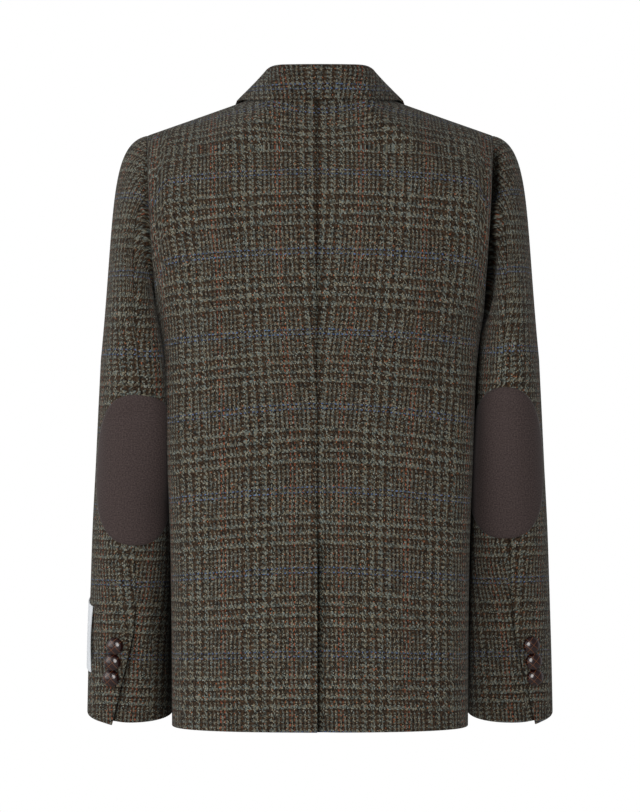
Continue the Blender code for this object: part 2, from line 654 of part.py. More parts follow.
def build_flaps():
    """The slanted pocket flaps, with rounded lower corners."""
    part = np.linspace(0, 1, 9)[None, :]
    down = np.linspace(0, 1, 5)[:, None]
    angle = FLAP_FRONT_ANGLE + (FLAP_SIDE_ANGLE - FLAP_FRONT_ANGLE) * part + 0 * down
    rounding = FLAP_CORNER * (np.abs(2 * part - 1) ** 6)
    height = FLAP_HEIGHT - FLAP_SLANT * part - (FLAP_DEPTH - rounding) * down
    outer = body_point(angle, height, -1, -LAP_GAP - WALL)
    inner = body_point(angle, height, -1, -LAP_GAP)
    for name, mirrored in (("pocket_flap_left", False), ("pocket_flap_right", True)):
        add_shell(name, outer, inner, TWEED, mirrored=mirrored)


# --- sleeves -----------------------------------------------------------------------------------

CAP_ALONG = (0, 0.07, 0.15, 0.25, 0.37, 0.50, 0.63, 0.76, 0.88)
SEAM_TURN = 0.0034  # half the gap of a sleeve seam, as a turn
CAP_SEAM_TURN = 0.0020  # how much wider it is at the armhole, where the seams curve
RIGHT_CUFF_TURN = 11.0  # the right forearm is turned out, which brings its vent further round


def along_at(height):
    """Place along the sleeve of a ring below the bicep."""
    return 1 + (BICEP_HEIGHT - height) / (BICEP_HEIGHT - CUFF_HEIGHT)


def sleeve_rows():
    vent = along_at(CUFF_VENT_TOP)
    above = np.linspace(1, vent, 8)
    below = np.linspace(vent, 2, 5)[1:]
    return np.concatenate([CAP_ALONG, above, below]), len(CAP_ALONG) + len(above) - 1


def seam_turns(along, mirrored):
    """Hind and fore seam turns, in radians, at places along the sleeve."""
    cap = SLEEVE_SEAMS[0].height + (BICEP_HEIGHT - SLEEVE_SEAMS[0].height) * along
    tube = BICEP_HEIGHT + (CUFF_HEIGHT - BICEP_HEIGHT) * (along - 1)
    height = np.where(along < 1, cap, tube)
    hind = by_height(SLEEVE_SEAMS, "hind", height)
    if mirrored:
        hind = hind - RIGHT_CUFF_TURN * ease(along - 1)
    return np.radians(hind), np.radians(by_height(SLEEVE_SEAMS, "fore", height))


def columns_between(turns):
    """Fractions of the way round a piece at which it meets the armhole's points."""
    turns = np.array(turns, float)
    return (turns - turns[0]) / (turns[-1] - turns[0])


def build_sleeve(side, mirrored):
    along, vent_row = sleeve_rows()
    hind, fore = (edge[:, None] for edge in seam_turns(along, mirrored))
    hind_start, fore_start = SLEEVE_SEAMS[0].hind, SLEEVE_SEAMS[0].fore
    over = [turn for turn in FRONT_TURNS[:0:-1] if turn >= fore_start]
    over += [turn for turn in BACK_TURNS if turn <= hind_start]
    beneath = [turn for turn in BACK_TURNS if turn >= hind_start]
    beneath += [turn + 360 for turn in FRONT_TURNS[-2::-1] if turn <= fore_start]
    rows = along[:, None]

    part = columns_between(over)[None, :]
    half_gap = SEAM_TURN + CAP_SEAM_TURN * ease(1 - rows)
    start, end = fore + half_gap, hind - half_gap
    turn = start + (end - start) * part
    tip = CUFF_TIP_DROP / (BICEP_HEIGHT - CUFF_HEIGHT) * ease((rows - 1.8) / 0.2) * part**4
    outer = sleeve_point(rows + tip, turn)
    inner = sleeve_point(rows + tip, turn, WALL)
    add_shell(f"sleeve_top_{side}", outer, inner, TWEED, mirrored=mirrored)

    start, end = hind + half_gap, fore + 2 * math.pi - half_gap
    turn = start + (end - start) * columns_between(beneath)[None, :]
    underlap = hind - CUFF_UNDERLAP * np.array((1, 0.5, 0.12))[None, :]
    turn = np.concatenate([underlap, turn], axis=1)
    dip = np.zeros(turn.shape)
    under = ease((rows - along[vent_row - 1]) / (along[vent_row] - along[vent_row - 1]))
    dip[:, :4] = (LAP_INSET + LAP_GAP) * under
    present = np.ones((len(along) - 1, turn.shape[1] - 1), bool)
    present[:vent_row, :3] = False
    outer = sleeve_point(rows, turn, dip)
    inner = sleeve_point(rows, turn, dip + WALL)
    add_shell(f"sleeve_under_{side}", outer, inner, TWEED, present, mirrored)


def build_patch(side, mirrored):
    """An oval patch round the elbow: a square grid drawn out to the oval's edge."""
    u, v = np.meshgrid(np.linspace(-1, 1, 12), np.linspace(-1, 1, 10))
    reach = np.maximum(np.abs(u), np.abs(v))
    bearing = np.arctan2(v, u)
    power = (np.abs(np.cos(bearing)) ** PATCH_SQUARE + np.abs(np.sin(bearing)) ** PATCH_SQUARE)
    rim = power ** (-1 / PATCH_SQUARE)
    turn = np.radians(PATCH_TURN + PATCH_HALF_TURN * reach * rim * np.cos(bearing))
    centre = PATCH_HEIGHT + (RIGHT_PATCH_RISE if mirrored else 0)
    along = along_at(centre - PATCH_HALF_HEIGHT * reach * rim * np.sin(bearing))
    outer = sleeve_point(along, turn, -PATCH_GAP - PATCH_THICKNESS)
    inner = sleeve_point(along, turn, -PATCH_GAP)
    add_shell(f"elbow_patch_{side}", outer, inner, PATCH, mirrored=mirrored)


def build_label():
    """A bare woven label on the outside of the left cuff, held at its corners and bulging between."""
    across, down = np.meshgrid(np.linspace(0, 1, 6), np.linspace(0, 1, 7))
    turn = np.radians(LABEL_TURNS[0] + (LABEL_TURNS[1] - LABEL_TURNS[0]) * across)
    height = LABEL_HEIGHTS[0] + (LABEL_HEIGHTS[1] - LABEL_HEIGHTS[0]) * down
    lift = LAP_GAP + LABEL_BULGE * np.sin(math.pi * down) ** 0.7
    outer = sleeve_point(along_at(height), turn, -lift - LABEL_THICKNESS)
    inner = sleeve_point(along_at(height), turn, -lift)
    add_shell("cuff_label", outer, inner, LABEL)


# --- buttons -----------------------------------------------------------------------------------

BUTTON_SIDES = 12
ButtonRing = namedtuple("ButtonRing", "radius height")  # as parts of the button's own sizes
BUTTON = (
    ButtonRing(0.72, 0.00),
    ButtonRing(0.93, 0.18),
    ButtonRing(1.00, 0.42),
    ButtonRing(0.90, 0.70),
    ButtonRing(0.62, 0.90),
)


def add_button(name, point, normal, radius, height, mirrored=False):
    """A domed button whose flat base sits on a point of the cloth."""
    normal = normal / np.linalg.norm(normal)
    across = np.cross((0.0, 0.0, 1.0), normal)
    across /= np.linalg.norm(across)
    up = np.cross(normal, across)
    base = point + BUTTON_GAP * normal
    turn = np.arange(BUTTON_SIDES) * 2 * math.pi / BUTTON_SIDES
    points = [base]
    for ring in BUTTON:
        spoke = np.cos(turn)[:, None] * across + np.sin(turn)[:, None] * up
        points.extend(base + ring.radius * radius * spoke + ring.height * height * normal)
    points.append(base + height * normal)
    faces = []
    for step in range(BUTTON_SIDES):
        after = (step + 1) % BUTTON_SIDES
        faces.append((0, 1 + after, 1 + step))
        for ring in range(len(BUTTON) - 1):
            low, high = 1 + ring * BUTTON_SIDES, 1 + (ring + 1) * BUTTON_SIDES
            faces.append((low + step, low + after, high + after, high + step))
        last = 1 + (len(BUTTON) - 1) * BUTTON_SIDES
        faces.append((last + step, last + after, len(points) - 1))
    points = np.array(points)
    if mirrored:
        points = points * (-1, 1, 1)
    add_object(name, points, faces, LEATHER)


RIGHT_BUTTON_TURN = 8.5  # the right cuff's buttons follow its vent round
CuffButton = namedtuple("CuffButton", "height turn")
CUFF_BUTTONS = (
    CuffButton(-0.5907, 72.5),
    CuffButton(-0.6093, 69.5),
    CuffButton(-0.6277, 68.0),
)


def build_buttons():
    for number, place in enumerate(CUFF_BUTTONS, 1):
        for side, mirrored in (("left", False), ("right", True)):
            turn = np.radians(place.turn - (RIGHT_BUTTON_TURN if mirrored else 0))
            along = along_at(place.height)
            point, normal = sleeve_point(along, turn), sleeve_normal(along, turn)
            name = f"cuff_button_{side}_{number}"
            add_button(name, point, normal, CUFF_BUTTON_RADIUS, CUFF_BUTTON_HEIGHT, mirrored)
    for number, height in enumerate(FRONT_BUTTON_HEIGHTS, 1):
        point = body_point(0.0, height, -1)
        normal = point - body_point(0.0, height, -1, WALL)
        name = f"front_button_{number}"
        add_button(name, point, normal, FRONT_BUTTON_RADIUS, FRONT_BUTTON_HEIGHT)


def clear_scene():
    for thing in list(bpy.context.scene.objects):
        bpy.data.objects.remove(thing, do_unlink=True)


def main():
    clear_scene()
    build_left_back()
    build_right_back()
    build_fronts()
    build_lapels()
    build_collar()
    build_flaps()
    for side, mirrored in (("left", False), ("right", True)):
        build_sleeve(side, mirrored)
        build_patch(side, mirrored)
    build_label()
    build_buttons()


main()
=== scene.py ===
"""Looks of a tweed hacking jacket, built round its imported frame: cloth, patches, label and buttons.

Metres, +Z up; the front faces -Y, the wearer's left is +X, and the origin is the neck's centre.
"""

from __future__ import annotations

import logging
import math
from dataclasses import dataclass, field, replace
from enum import Enum
from functools import cached_property

import bpy
import numpy as np
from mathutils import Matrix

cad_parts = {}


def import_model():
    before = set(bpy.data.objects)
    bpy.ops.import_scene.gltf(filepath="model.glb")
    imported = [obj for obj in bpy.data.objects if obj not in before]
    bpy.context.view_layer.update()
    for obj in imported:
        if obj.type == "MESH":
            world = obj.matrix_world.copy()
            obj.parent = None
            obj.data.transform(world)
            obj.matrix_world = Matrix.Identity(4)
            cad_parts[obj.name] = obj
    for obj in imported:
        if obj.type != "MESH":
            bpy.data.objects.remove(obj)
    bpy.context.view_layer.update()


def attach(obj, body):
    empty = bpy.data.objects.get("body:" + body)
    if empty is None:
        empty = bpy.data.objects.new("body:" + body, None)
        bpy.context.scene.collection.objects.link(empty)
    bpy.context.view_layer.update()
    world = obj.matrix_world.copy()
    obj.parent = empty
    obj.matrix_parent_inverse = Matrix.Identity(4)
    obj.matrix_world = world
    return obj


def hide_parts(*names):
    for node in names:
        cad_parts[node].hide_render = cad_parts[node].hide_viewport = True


log = logging.getLogger("jacket")

Array = np.ndarray
Value = float | Array
Tree = bpy.types.NodeTree
Socket = bpy.types.NodeSocket
Input = Socket | float | tuple  # of a shader node
Pair = tuple[float, float]

WEAVE_MAP = "weave"  # UV map in metres: across the warp, then along it
PAINTED_SHADE_MAP = "painted_shade"  # UV map of painted shade: its first place is 1 where the cloth is painted darkest, 0 where no shade is painted

CHECK = (0.0749, 0.0858)  # one repeat of the cloth's check, across and along the warp
WALL = 0.0022  # tweed with its interlining
SEAM_LAP = 0.0002  # how far the two sides of a seam reach into each other, so that no light passes
LAP_GAP = 0.0007  # between a piece and the one that laps over it
LAP_INSET = WALL + LAP_GAP
SEAM_GROOVE = (0.0026, 0.0007)  # reach and depth of the fall towards a seam
HEM_ROUND = (0.0014, 0.0009)  # and towards a free edge
SEWN_TO_HEM = (SEAM_GROOVE, SEAM_GROOVE, SEAM_GROOVE, HEM_ROUND)  # first and last edge, top, hem
OPEN_TO_HEM = (HEM_ROUND, SEAM_GROOVE, SEAM_GROOVE, HEM_ROUND)
ALL_FREE = (HEM_ROUND, HEM_ROUND, HEM_ROUND, HEM_ROUND)
SEAM_SHADE = (0.62, 0.0013)  # painted shade along a seam, 0 to 1, and its reach
CLOTH_STEP = 0.0030  # size of a panel's cells
EDGE_STEPS = (0.0, 0.0003, 0.0008, 0.0015, 0.0024)  # closer rows along every edge


class Side(Enum):
    """Which of the wearer's sides a piece is on, as the sign of its X."""

    LEFT = 1
    RIGHT = -1

    @property
    def word(self) -> str:
        """The side's name as it ends a node's name."""
        return self.name.lower()


# --- curves and grids ---


def smooth(knots: Array, values: Array, at: Value) -> Array:
    """Cubic through rising knots, its slope at each knot the neighbours' weighted mean.

    Args:
        knots: rising places.
        values: the value at each knot.
        at: places to read, clipped to the knots' range.

    Returns:
        The Hermite cubic's values at those places.
    """
    knots, values = np.asarray(knots, float), np.asarray(values, float)
    at = np.clip(at, knots[0], knots[-1])
    step = np.diff(knots)
    slope = np.diff(values) / step
    middle = (slope[:-1] * step[1:] + slope[1:] * step[:-1]) / (step[:-1] + step[1:])
    tangent = np.concatenate([slope[:1], middle, slope[-1:]])
    left = np.clip(np.searchsorted(knots, at, side="right") - 1, 0, len(step) - 1)
    t = (at - knots[left]) / step[left]
    along = step[left]
    return (
        (2 * t**3 - 3 * t**2 + 1) * values[left]
        + (t**3 - 2 * t**2 + t) * along * tangent[left]
        + (3 * t**2 - 2 * t**3) * values[left + 1]
        + (t**3 - t**2) * along * tangent[left + 1]
    )


def ease(t: Value) -> Array:
    """0 up to t = 0 and 1 from t = 1, with the cubic 3t^2 - 2t^3 between."""
    t = np.clip(t, 0, 1)
    return t * t * (3 - 2 * t)


def ramp(value: Value, start: float, end: float) -> Array:
    """Eases from 0 at a start to 1 at an end, which may be the lower of the two."""
    return ease((value - start) / (end - start))


def between(value: Value, start: float, full: float, last: float, end: float) -> Array:
    """Ramps up from a start to full, and down again from a last place to the end."""
    return ramp(value, start, full) * ramp(value, end, last)


def bell(distance: Value, depth: float, reach: float) -> Array:
    """A soft bump that fades with the distance: depth x exp(-(distance / reach)^2)."""
    return depth * np.exp(-((distance / reach) ** 2))


def rounding(distance: Value, width: float, depth: float) -> Array:
    """Fall towards an edge, a quarter ellipse: depth x (1 - sqrt(1 - (1 - d / width)^2))."""
    left = 1 - np.clip(np.asarray(distance) / width, 0, 1)
    return depth * (1 - np.sqrt(np.clip(1 - left**2, 0, 1)))


def edge_falls(off: tuple[Array, ...], rounds: tuple[Pair, ...]) -> Array:
    """How far a piece's outer face falls at its edges: grooved seams and rounded free ones.

    Args:
        off: distances of the columns from the first and last edge, and of the rows from the top
            and the lowest one.
        rounds: reach and depth of the fall at each.

    Returns:
        The fall, in metres.
    """
    first, last, top, low = (rounding(distance, *size) for distance, size in zip(off, rounds))
    return np.maximum(np.maximum(first, last)[None, :], np.maximum(top, low)[:, None])


def with_lap(grid: Array, extra: int, factor: float = 1.0) -> Array:
    """A grid with an underlap's columns before it: its first column, times a factor, repeated."""
    return np.concatenate([np.repeat(grid[:, :1] * factor, extra, axis=1), grid], axis=1)


def spaced(length: float, *corners: float, step: float = CLOTH_STEP) -> Array:
    """Fractions of a length: fine steps at both ends, then about one cell apart.

    Args:
        length: of the line, in metres.
        corners: fractions that have to be among them.
        step: size of a cell.

    Returns:
        Rising fractions from 0 to 1.
    """
    near = np.array(EDGE_STEPS) / length
    stops = [near[-1], *corners, 1 - near[-1]]
    middle = [
        np.linspace(a, b, max(2, round((b - a) * length / step)), endpoint=False)
        for a, b in zip(stops[:-1], stops[1:])
    ]
    return np.concatenate([near[:-1], *middle, 1 - near[::-1]])


def unit(vectors: Array) -> Array:
    """Vectors of length one."""
    return vectors / np.linalg.norm(vectors, axis=-1, keepdims=True)


def path_length(points: Array) -> Array:
    """Length of each path of points along the axis before the last: the sum of its chords."""
    return np.linalg.norm(np.diff(points, axis=-2), axis=-1).sum(axis=-1)


class Rows:
    """Named columns of sizes at falling heights, with a smooth cubic down each column."""

    def __init__(self, names: str, *rows: tuple[float, ...]) -> None:
        """Keeps the columns under their names; the first value of each row is its height."""
        table = np.array(rows, float)
        self.knots = -table[:, 0]
        self.columns = dict(zip(names.split(), table[:, 1:].T))

    def at(self, name: str, height: Value) -> Array:
        """The named size at a height."""
        return smooth(self.knots, self.columns[name], -np.asarray(height))


def per_side(left: object, right: object) -> object:
    """Default of a field that has a value for each of the wearer's sides."""
    return field(default_factory=lambda: {Side.LEFT: left, Side.RIGHT: right})


def by_node(**values: object) -> object:
    """Default of a field that has a value for each node, or kind of node, named."""
    return field(default_factory=lambda: values)


@dataclass(frozen=True)
class Fold:
    """One soft crease: a trough with a lower ridge beside it, fading at both ends.

    The places are across and up the piece, in metres; a negative depth makes the middle a ridge.
    """

    start: Pair
    end: Pair
    width: float
    depth: float
    bow: float = 0.0
    lean: float = 0.5

    def relief(self, across: Array, up: Array) -> Array:
        """Height that the crease adds: -depth (exp(-d^2) - lean exp(-(d - 1.8)^2)) sin(pi t)^0.8.

        Args:
            across: places across the piece.
            up: heights of the same places.

        Returns:
            Metres outwards; d is the distance off the crease in widths and t the part along it.
        """
        run = np.subtract(self.end, self.start)
        size = float(np.hypot(*run))
        t = ((across - self.start[0]) * run[0] + (up - self.start[1]) * run[1]) / size**2
        off = ((across - self.start[0]) * run[1] - (up - self.start[1]) * run[0]) / size
        off = (off + self.bow * 4 * t * (1 - t)) / self.width
        fade = np.sin(math.pi * np.clip(t, 0, 1)) ** 0.8
        return -self.depth * (np.exp(-(off**2)) - self.lean * np.exp(-((off - 1.8) ** 2))) * fade


def relief_of(folds: tuple[Fold, ...], across: Array, up: Array) -> Array:
    """Sum of the folds' reliefs over a piece.

    Args:
        folds: the creases.
        across: places across the piece.
        up: heights of the same places.

    Returns:
        Metres outwards.
    """
    total = np.zeros(np.broadcast(across, up).shape)
    for fold in folds:
        total = total + fold.relief(across, up)
    return total


# --- forms ---


@dataclass(frozen=True)
class BodyForm:
    """The body's outer form: superellipse sections that round over at the shoulder line."""

    back_square: float = 2.6
    front_square: float = 2.3
    round_at_neck: float = 0.045
    round_at_shoulder: float = 0.090
    shoulder_slope: float = 0.35
    shoulder_at: float = 0.118
    shoulder_height: float = -0.0143
    neck_rise: float = 0.10
    neck_reach: float = 0.085
    neck_half_width: float = 0.073
    shoulder_x: float = 0.190
    underarm_height: float = -0.239
    scye_scoop: float = 0.0145
    level_height: float = -0.300  # from which the weave's length is measured up and down
    path_points: int = 33  # of the chords that a length is summed from
    rows: Rows = Rows(
        "half_width back front side",
        (0.020, 0.204, 0.056, 0.060, 0.000),
        (0.000, 0.205, 0.064, 0.068, 0.000),
        (-0.045, 0.206, 0.082, 0.086, -0.002),
        (-0.100, 0.208, 0.093, 0.106, -0.006),
        (-0.150, 0.204, 0.097, 0.120, -0.010),
        (-0.200, 0.189, 0.0965, 0.128, -0.010),
        (-0.240, 0.179, 0.094, 0.130, -0.006),
        (-0.290, 0.172, 0.088, 0.126, 0.002),
        (-0.340, 0.169, 0.083, 0.120, 0.010),
        (-0.400, 0.167, 0.084, 0.116, 0.014),
        (-0.480, 0.164, 0.090, 0.118, 0.016),
        (-0.560, 0.1625, 0.095, 0.121, 0.018),
        (-0.700, 0.1615, 0.099, 0.124, 0.020),
    )

    def ridge(self, x: Value) -> Array:
        """Height of the shoulder line: a straight slope that climbs steeply inside the neck."""
        across = np.abs(x)
        slope = self.shoulder_height - self.shoulder_slope * (across - self.shoulder_at)
        inside = np.clip(1 - (across / self.neck_reach) ** 2, 0, None)
        return slope + self.neck_rise * inside**3

    def exponent(self, face: Value) -> Array:
        """Exponent of the section: the back's where face is 1, the front's where it is -1."""
        return np.where(np.asarray(face) > 0, self.back_square, self.front_square)

    def angle_at(self, x: Value, height: Value, face: Value) -> Array:
        """Angle round the section of a place across it: arcsin of (|x| / half width)^(n/2)."""
        part = np.clip(np.abs(x) / self.rows.at("half_width", height), 0, 1)
        return np.sign(x) * np.arcsin(part ** (self.exponent(face) / 2))

    def point(self, angle: Value, height: Value, face: Value, inset: Value = 0.0) -> Array:
        """Point of the form, or below it by an inset.

        The section is x = half width sin^(2/n), y = side + cos^(2/n) (depth - side); near the
        shoulder line both the depth and the inset turn over with a quarter circle.

        Args:
            angle: round the section, 0 at the centre line and a quarter turn at the side.
            height: of the section.
            face: 1 on the back, -1 on the front.
            inset: depth below the form, negative above it.

        Returns:
            Points, with their coordinates along the last axis.
        """
        angle, height, face, inset = np.broadcast_arrays(angle, height, face, inset)
        power = 2 / self.exponent(face)
        across = np.sign(np.sin(angle)) * np.abs(np.sin(angle)) ** power
        out = np.abs(np.cos(angle)) ** power
        half_width = self.rows.at("half_width", height)
        side = self.rows.at("side", height)
        depth = np.where(face > 0, self.rows.at("back", height), self.rows.at("front", height))
        x = half_width * across
        widening = ease((np.abs(x) - self.neck_half_width) / self.neck_reach)
        round_over = self.round_at_neck
        round_over = round_over + (self.round_at_shoulder - self.round_at_neck) * widening
        drop = np.clip((self.ridge(x) - height) / round_over, 0, 1)
        swell = np.sqrt(1 - (1 - drop) ** 2)
        level = np.hypot(swell, 1 - swell)
        flat = inset * swell / level
        x = (half_width - flat) * across
        y = (side + out * (face * (depth - flat) - side)) * swell
        return np.stack([x, y, height - inset * (1 - swell) / level], axis=-1)

    def armhole(self, turn: Value) -> tuple[Array, Array, Array]:
        """The armhole's seam; in front it is scooped in by scoop sin^2.

        Args:
            turn: round the armhole, 0 at the shoulder, pi underarm and negative in front.

        Returns:
            Angle, height and face of its points.
        """
        low = (1 - np.cos(turn)) / 2
        height = self.ridge(self.shoulder_x) * (1 - low) + self.underarm_height * low
        face = np.where(np.sin(turn) < 0, -1, 1)
        x = self.shoulder_x * (1 - low) + self.rows.at("half_width", self.underarm_height) * low
        x = x - np.where(face < 0, self.scye_scoop * np.sin(turn) ** 2, 0)
        return self.angle_at(x, height, face), height, face

    def lengths(self, angle: Array, height: Array, face: int) -> tuple[Array, Array]:
        """Lengths along the cloth: round the section from the centre line, and down from a level.

        Args:
            angle: angles of the places.
            height: their heights.
            face: 1 on the back, -1 on the front.

        Returns:
            The girth, signed as x, and the drop, which grows downwards, each a sum of chords.
        """
        part = np.linspace(0, 1, self.path_points)
        round_path = self.point(angle[..., None] * part, height[..., None], face)
        girth = np.sign(angle) * path_length(round_path)
        x = self.point(angle, height, face)[..., 0]
        rise = self.level_height + (height - self.level_height)[..., None] * (1 - (1 - part) ** 2)
        down_path = self.point(self.angle_at(x[..., None], rise, face), rise, face)
        drop = np.sign(self.level_height - height) * path_length(down_path)
        return girth, drop


BODY = BodyForm()


@dataclass(frozen=True)
class SleeveForm:
    """A sleeve's outer form: a cap of cubic curves from the armhole, then rings down the arm."""

    bicep_height: float = -0.285
    cuff_height: float = -0.6800
    leave: Pair = (0.011, 0.044)
    arrive: Pair = (0.018, 0.162)
    lean: Pair = (0.06, -0.10)
    fall: float = 0.20  # slope at which the cap's top leaves the shoulder line
    spread: float = 0.9  # how far outwards the cap leaves the armhole underarm
    sway: float = 0.5  # and how far backwards or forwards it leaves between
    path_points: int = 25
    square: float = 2.15
    rows: Rows = Rows(
        "centre_x centre_y half_width half_depth tilt",
        (-0.285, 0.2071, -0.012, 0.0344, 0.066, 0.0),
        (-0.340, 0.2069, -0.018, 0.0379, 0.064, 3.0),
        (-0.400, 0.2073, -0.026, 0.0410, 0.061, 6.0),
        (-0.470, 0.2080, -0.037, 0.0448, 0.057, 9.0),
        (-0.540, 0.2087, -0.050, 0.0475, 0.052, 12.0),
        (-0.610, 0.2108, -0.065, 0.0487, 0.046, 14.0),
        (-0.700, 0.2150, -0.087, 0.0482, 0.037, 15.5),
    )
    seams: Rows = Rows(
        "hind fore",
        (-0.100, 72.0, -112.0),
        (-0.285, 104.0, -124.0),
        (-0.385, 107.0, -125.0),
        (-0.480, 96.0, -125.0),
        (-0.562, 95.0, -125.0),
        (-0.606, 87.5, -125.0),
        (-0.650, 77.0, -125.0),
        (-0.690, 67.0, -125.0),
    )

    def along_at(self, height: Value) -> Array:
        """Place along the sleeve of a ring below the bicep: 1 at the bicep, 2 at the cuff."""
        return 1 + (self.bicep_height - height) / (self.bicep_height - self.cuff_height)

    def height_at(self, along: Value) -> Array:
        """Height of the ring at a place along the sleeve; above the bicep, the bicep's."""
        below = np.clip(np.asarray(along) - 1, 0, None)
        return self.bicep_height + (self.cuff_height - self.bicep_height) * below

    def ring(self, height: Value, turn: Value) -> Array:
        """Point of a ring: a superellipse about its centre, tipped as the forearm comes forward.

        Args:
            height: of the ring's centre.
            turn: round the ring, 0 outwards and a quarter turn at the back.

        Returns:
            Points, with their coordinates along the last axis.
        """
        power = 2 / self.square
        across = np.sign(np.cos(turn)) * np.abs(np.cos(turn)) ** power
        deep = np.sign(np.sin(turn)) * np.abs(np.sin(turn)) ** power
        x = self.rows.at("centre_x", height) + self.rows.at("half_width", height) * across
        reach = self.rows.at("half_depth", height) * deep
        tilt = np.radians(self.rows.at("tilt", height))
        y = self.rows.at("centre_y", height) + reach * np.cos(tilt)
        return np.stack([x, y, height - reach * np.sin(tilt)], axis=-1)

    def surface(self, along: Value, turn: Value) -> Array:
        """Point of the form; along is 0 at the armhole, 1 at the bicep and 2 at the cuff.

        The cap is a Bezier cubic at each turn, from the armhole outwards into the bicep's ring.

        Args:
            along: places along the sleeve.
            turn: round it, as in a ring.

        Returns:
            Points, with their coordinates along the last axis.
        """
        along, turn = np.broadcast_arrays(along, turn)
        tube = self.ring(self.height_at(along), turn)
        top = (1 + np.cos(turn)) / 2
        rise = 1 - top - self.fall * top**4
        outwards = np.sqrt(top) + self.spread * (1 - top)
        out = unit(np.stack([outwards, -self.sway * np.sin(turn), rise], axis=-1))
        start = BODY.point(*BODY.armhole(turn)) - SEAM_LAP * out
        leave = (self.leave[0] + (self.leave[1] - self.leave[0]) * top**1.5)[..., None]
        arrive = (self.arrive[0] + (self.arrive[1] - self.arrive[0]) * top**1.2)[..., None]
        lean = self.lean[0] + (self.lean[1] - self.lean[0]) * top
        up = np.stack([lean, np.zeros_like(lean), np.ones_like(lean)], axis=-1)
        t = np.clip(along, 0, 1)[..., None]
        cap = (
            (1 - t) ** 3 * start
            + 3 * t * (1 - t) ** 2 * (start + leave * out)
            + 3 * t**2 * (1 - t) * (tube + arrive * up)
            + t**3 * tube
        )
        return np.where(along[..., None] < 1, cap, tube)

    def normal(self, along: Value, turn: Value, step: float = 1e-3) -> Array:
        """Outward normal: the cross product of the slopes down the sleeve and round it.

        Args:
            along: places along the sleeve.
            turn: round it.
            step: over which each slope is measured.

        Returns:
            Unit vectors.
        """
        down = self.surface(along + step, turn) - self.surface(np.maximum(along - step, 0), turn)
        around = self.surface(along, turn + step) - self.surface(along, turn - step)
        return unit(np.cross(down, around))

    def point(self, along: Value, turn: Value, inset: Value = 0.0) -> Array:
        """Point below the form by an inset, or above it by a negative one."""
        along, turn, inset = np.broadcast_arrays(along, turn, inset)
        return self.surface(along, turn) - inset[..., None] * self.normal(along, turn)

    def lengths(self, along: Array, turn: Array, middle: float) -> tuple[Array, Array]:
        """Lengths along the cloth, each a sum of chords.

        Args:
            along: places along the sleeve.
            turn: round it.
            middle: turn from which the girth is measured.

        Returns:
            The girth round the ring, and the drop below the bicep, negative above it.
        """
        part = np.linspace(0, 1, self.path_points)
        turns = middle + (turn - middle)[..., None] * part
        girth = np.sign(turn - middle) * path_length(self.surface(along[..., None], turns))
        places = 1 + (along - 1)[..., None] * part
        drop = np.sign(along - 1) * path_length(self.surface(places, turn[..., None]))
        return girth, drop


SLEEVE = SleeveForm()


# --- meshes ---


def build_shell(
    name: str,
    outer: Array,
    inner: Array,
    weave: Array,
    side: Side = Side.LEFT,
    present: Array | None = None,
    sharp: float = 50.0,
    painted_shade: Array | None = None,
) -> bpy.types.Object:
    """Closed wall between two grids of points, over those of the grid's cells that are present.

    Args:
        name: of the object.
        outer: grid of points of the outer face.
        inner: the same grid on the inner face.
        weave: the grid's places on the flat cloth, in metres.
        side: the wearer's side; the right side's X is turned over.
        present: which cells are there; all of them if it is None.
        sharp: angle in degrees past which an edge is sharp.
        painted_shade: painted shade at the grid's places, 0 to 1; none if it is None.

    Returns:
        The object, its faces outwards, with the weave and the painted shade as its UV maps.
    """
    rows, columns = outer.shape[:2]
    if present is None:
        present = np.ones((rows - 1, columns - 1), bool)
    index = np.arange(rows * columns).reshape(rows, columns)
    under = rows * columns
    corners = np.stack([index[:-1, :-1], index[:-1, 1:], index[1:, 1:], index[1:, :-1]], axis=-1)
    padded = np.pad(present, 1)
    neighbours = (padded[:-2, 1:-1], padded[1:-1, 2:], padded[2:, 1:-1], padded[1:-1, :-2])
    top = corners[present]
    faces = [top, top[:, ::-1] + under]
    for edge, beyond in enumerate(neighbours):
        ends = corners[present & ~beyond]
        start, end = ends[:, edge], ends[:, (edge + 1) % 4]
        faces.append(np.stack([end, start, start + under, end + under], axis=-1))
    faces = np.concatenate(faces)
    points = np.concatenate([outer.reshape(-1, 3), inner.reshape(-1, 3)]) * (side.value, 1, 1)
    places = np.tile(weave.reshape(-1, 2), (2, 1))
    used, faces = np.unique(faces, return_inverse=True)
    points, places, faces = points[used], places[used], faces.reshape(-1, 4)
    a, b, c, d = (points[faces[:, corner]] for corner in range(4))
    volume = np.sum(a * np.cross(b, c)) + np.sum(a * np.cross(c, d))
    if volume < 0:
        faces = faces[:, ::-1]
    mesh = bpy.data.meshes.new(name)
    mesh.from_pydata(points, [], faces)
    layer = mesh.uv_layers.new(name=WEAVE_MAP)
    layer.data.foreach_set("uv", places[faces.ravel()].astype(np.float32).ravel())
    # painted shade, kept as a second UV map that darkens the finish
    if painted_shade is not None:
        deep = np.tile(np.broadcast_to(painted_shade, outer.shape[:2]).ravel(), 2)[used][faces.ravel()]
        layer = mesh.uv_layers.new(name=PAINTED_SHADE_MAP)
        deep = np.stack([deep, np.zeros_like(deep)], axis=-1)
        layer.data.foreach_set("uv", deep.astype(np.float32).ravel())
    mesh.shade_smooth()
    mesh.set_sharp_from_angle(angle=math.radians(sharp))
    made = bpy.data.objects.new(name, mesh)
    bpy.context.scene.collection.objects.link(made)
    return made


def disc_grid(count: int) -> tuple[Array, Array]:
    """A square grid drawn out to a round one: each point keeps its bearing, its reach to the edge.

    Args:
        count: points along a side.

    Returns:
        Distance from the centre, 0 to 1, and bearing of each point.
    """
    line = np.linspace(-1, 1, count)
    line = np.sign(line) * (1 - (1 - np.abs(line)) ** 1.15)
    u, v = np.meshgrid(line, line)
    return np.maximum(np.abs(u), np.abs(v)), np.arctan2(v, u)


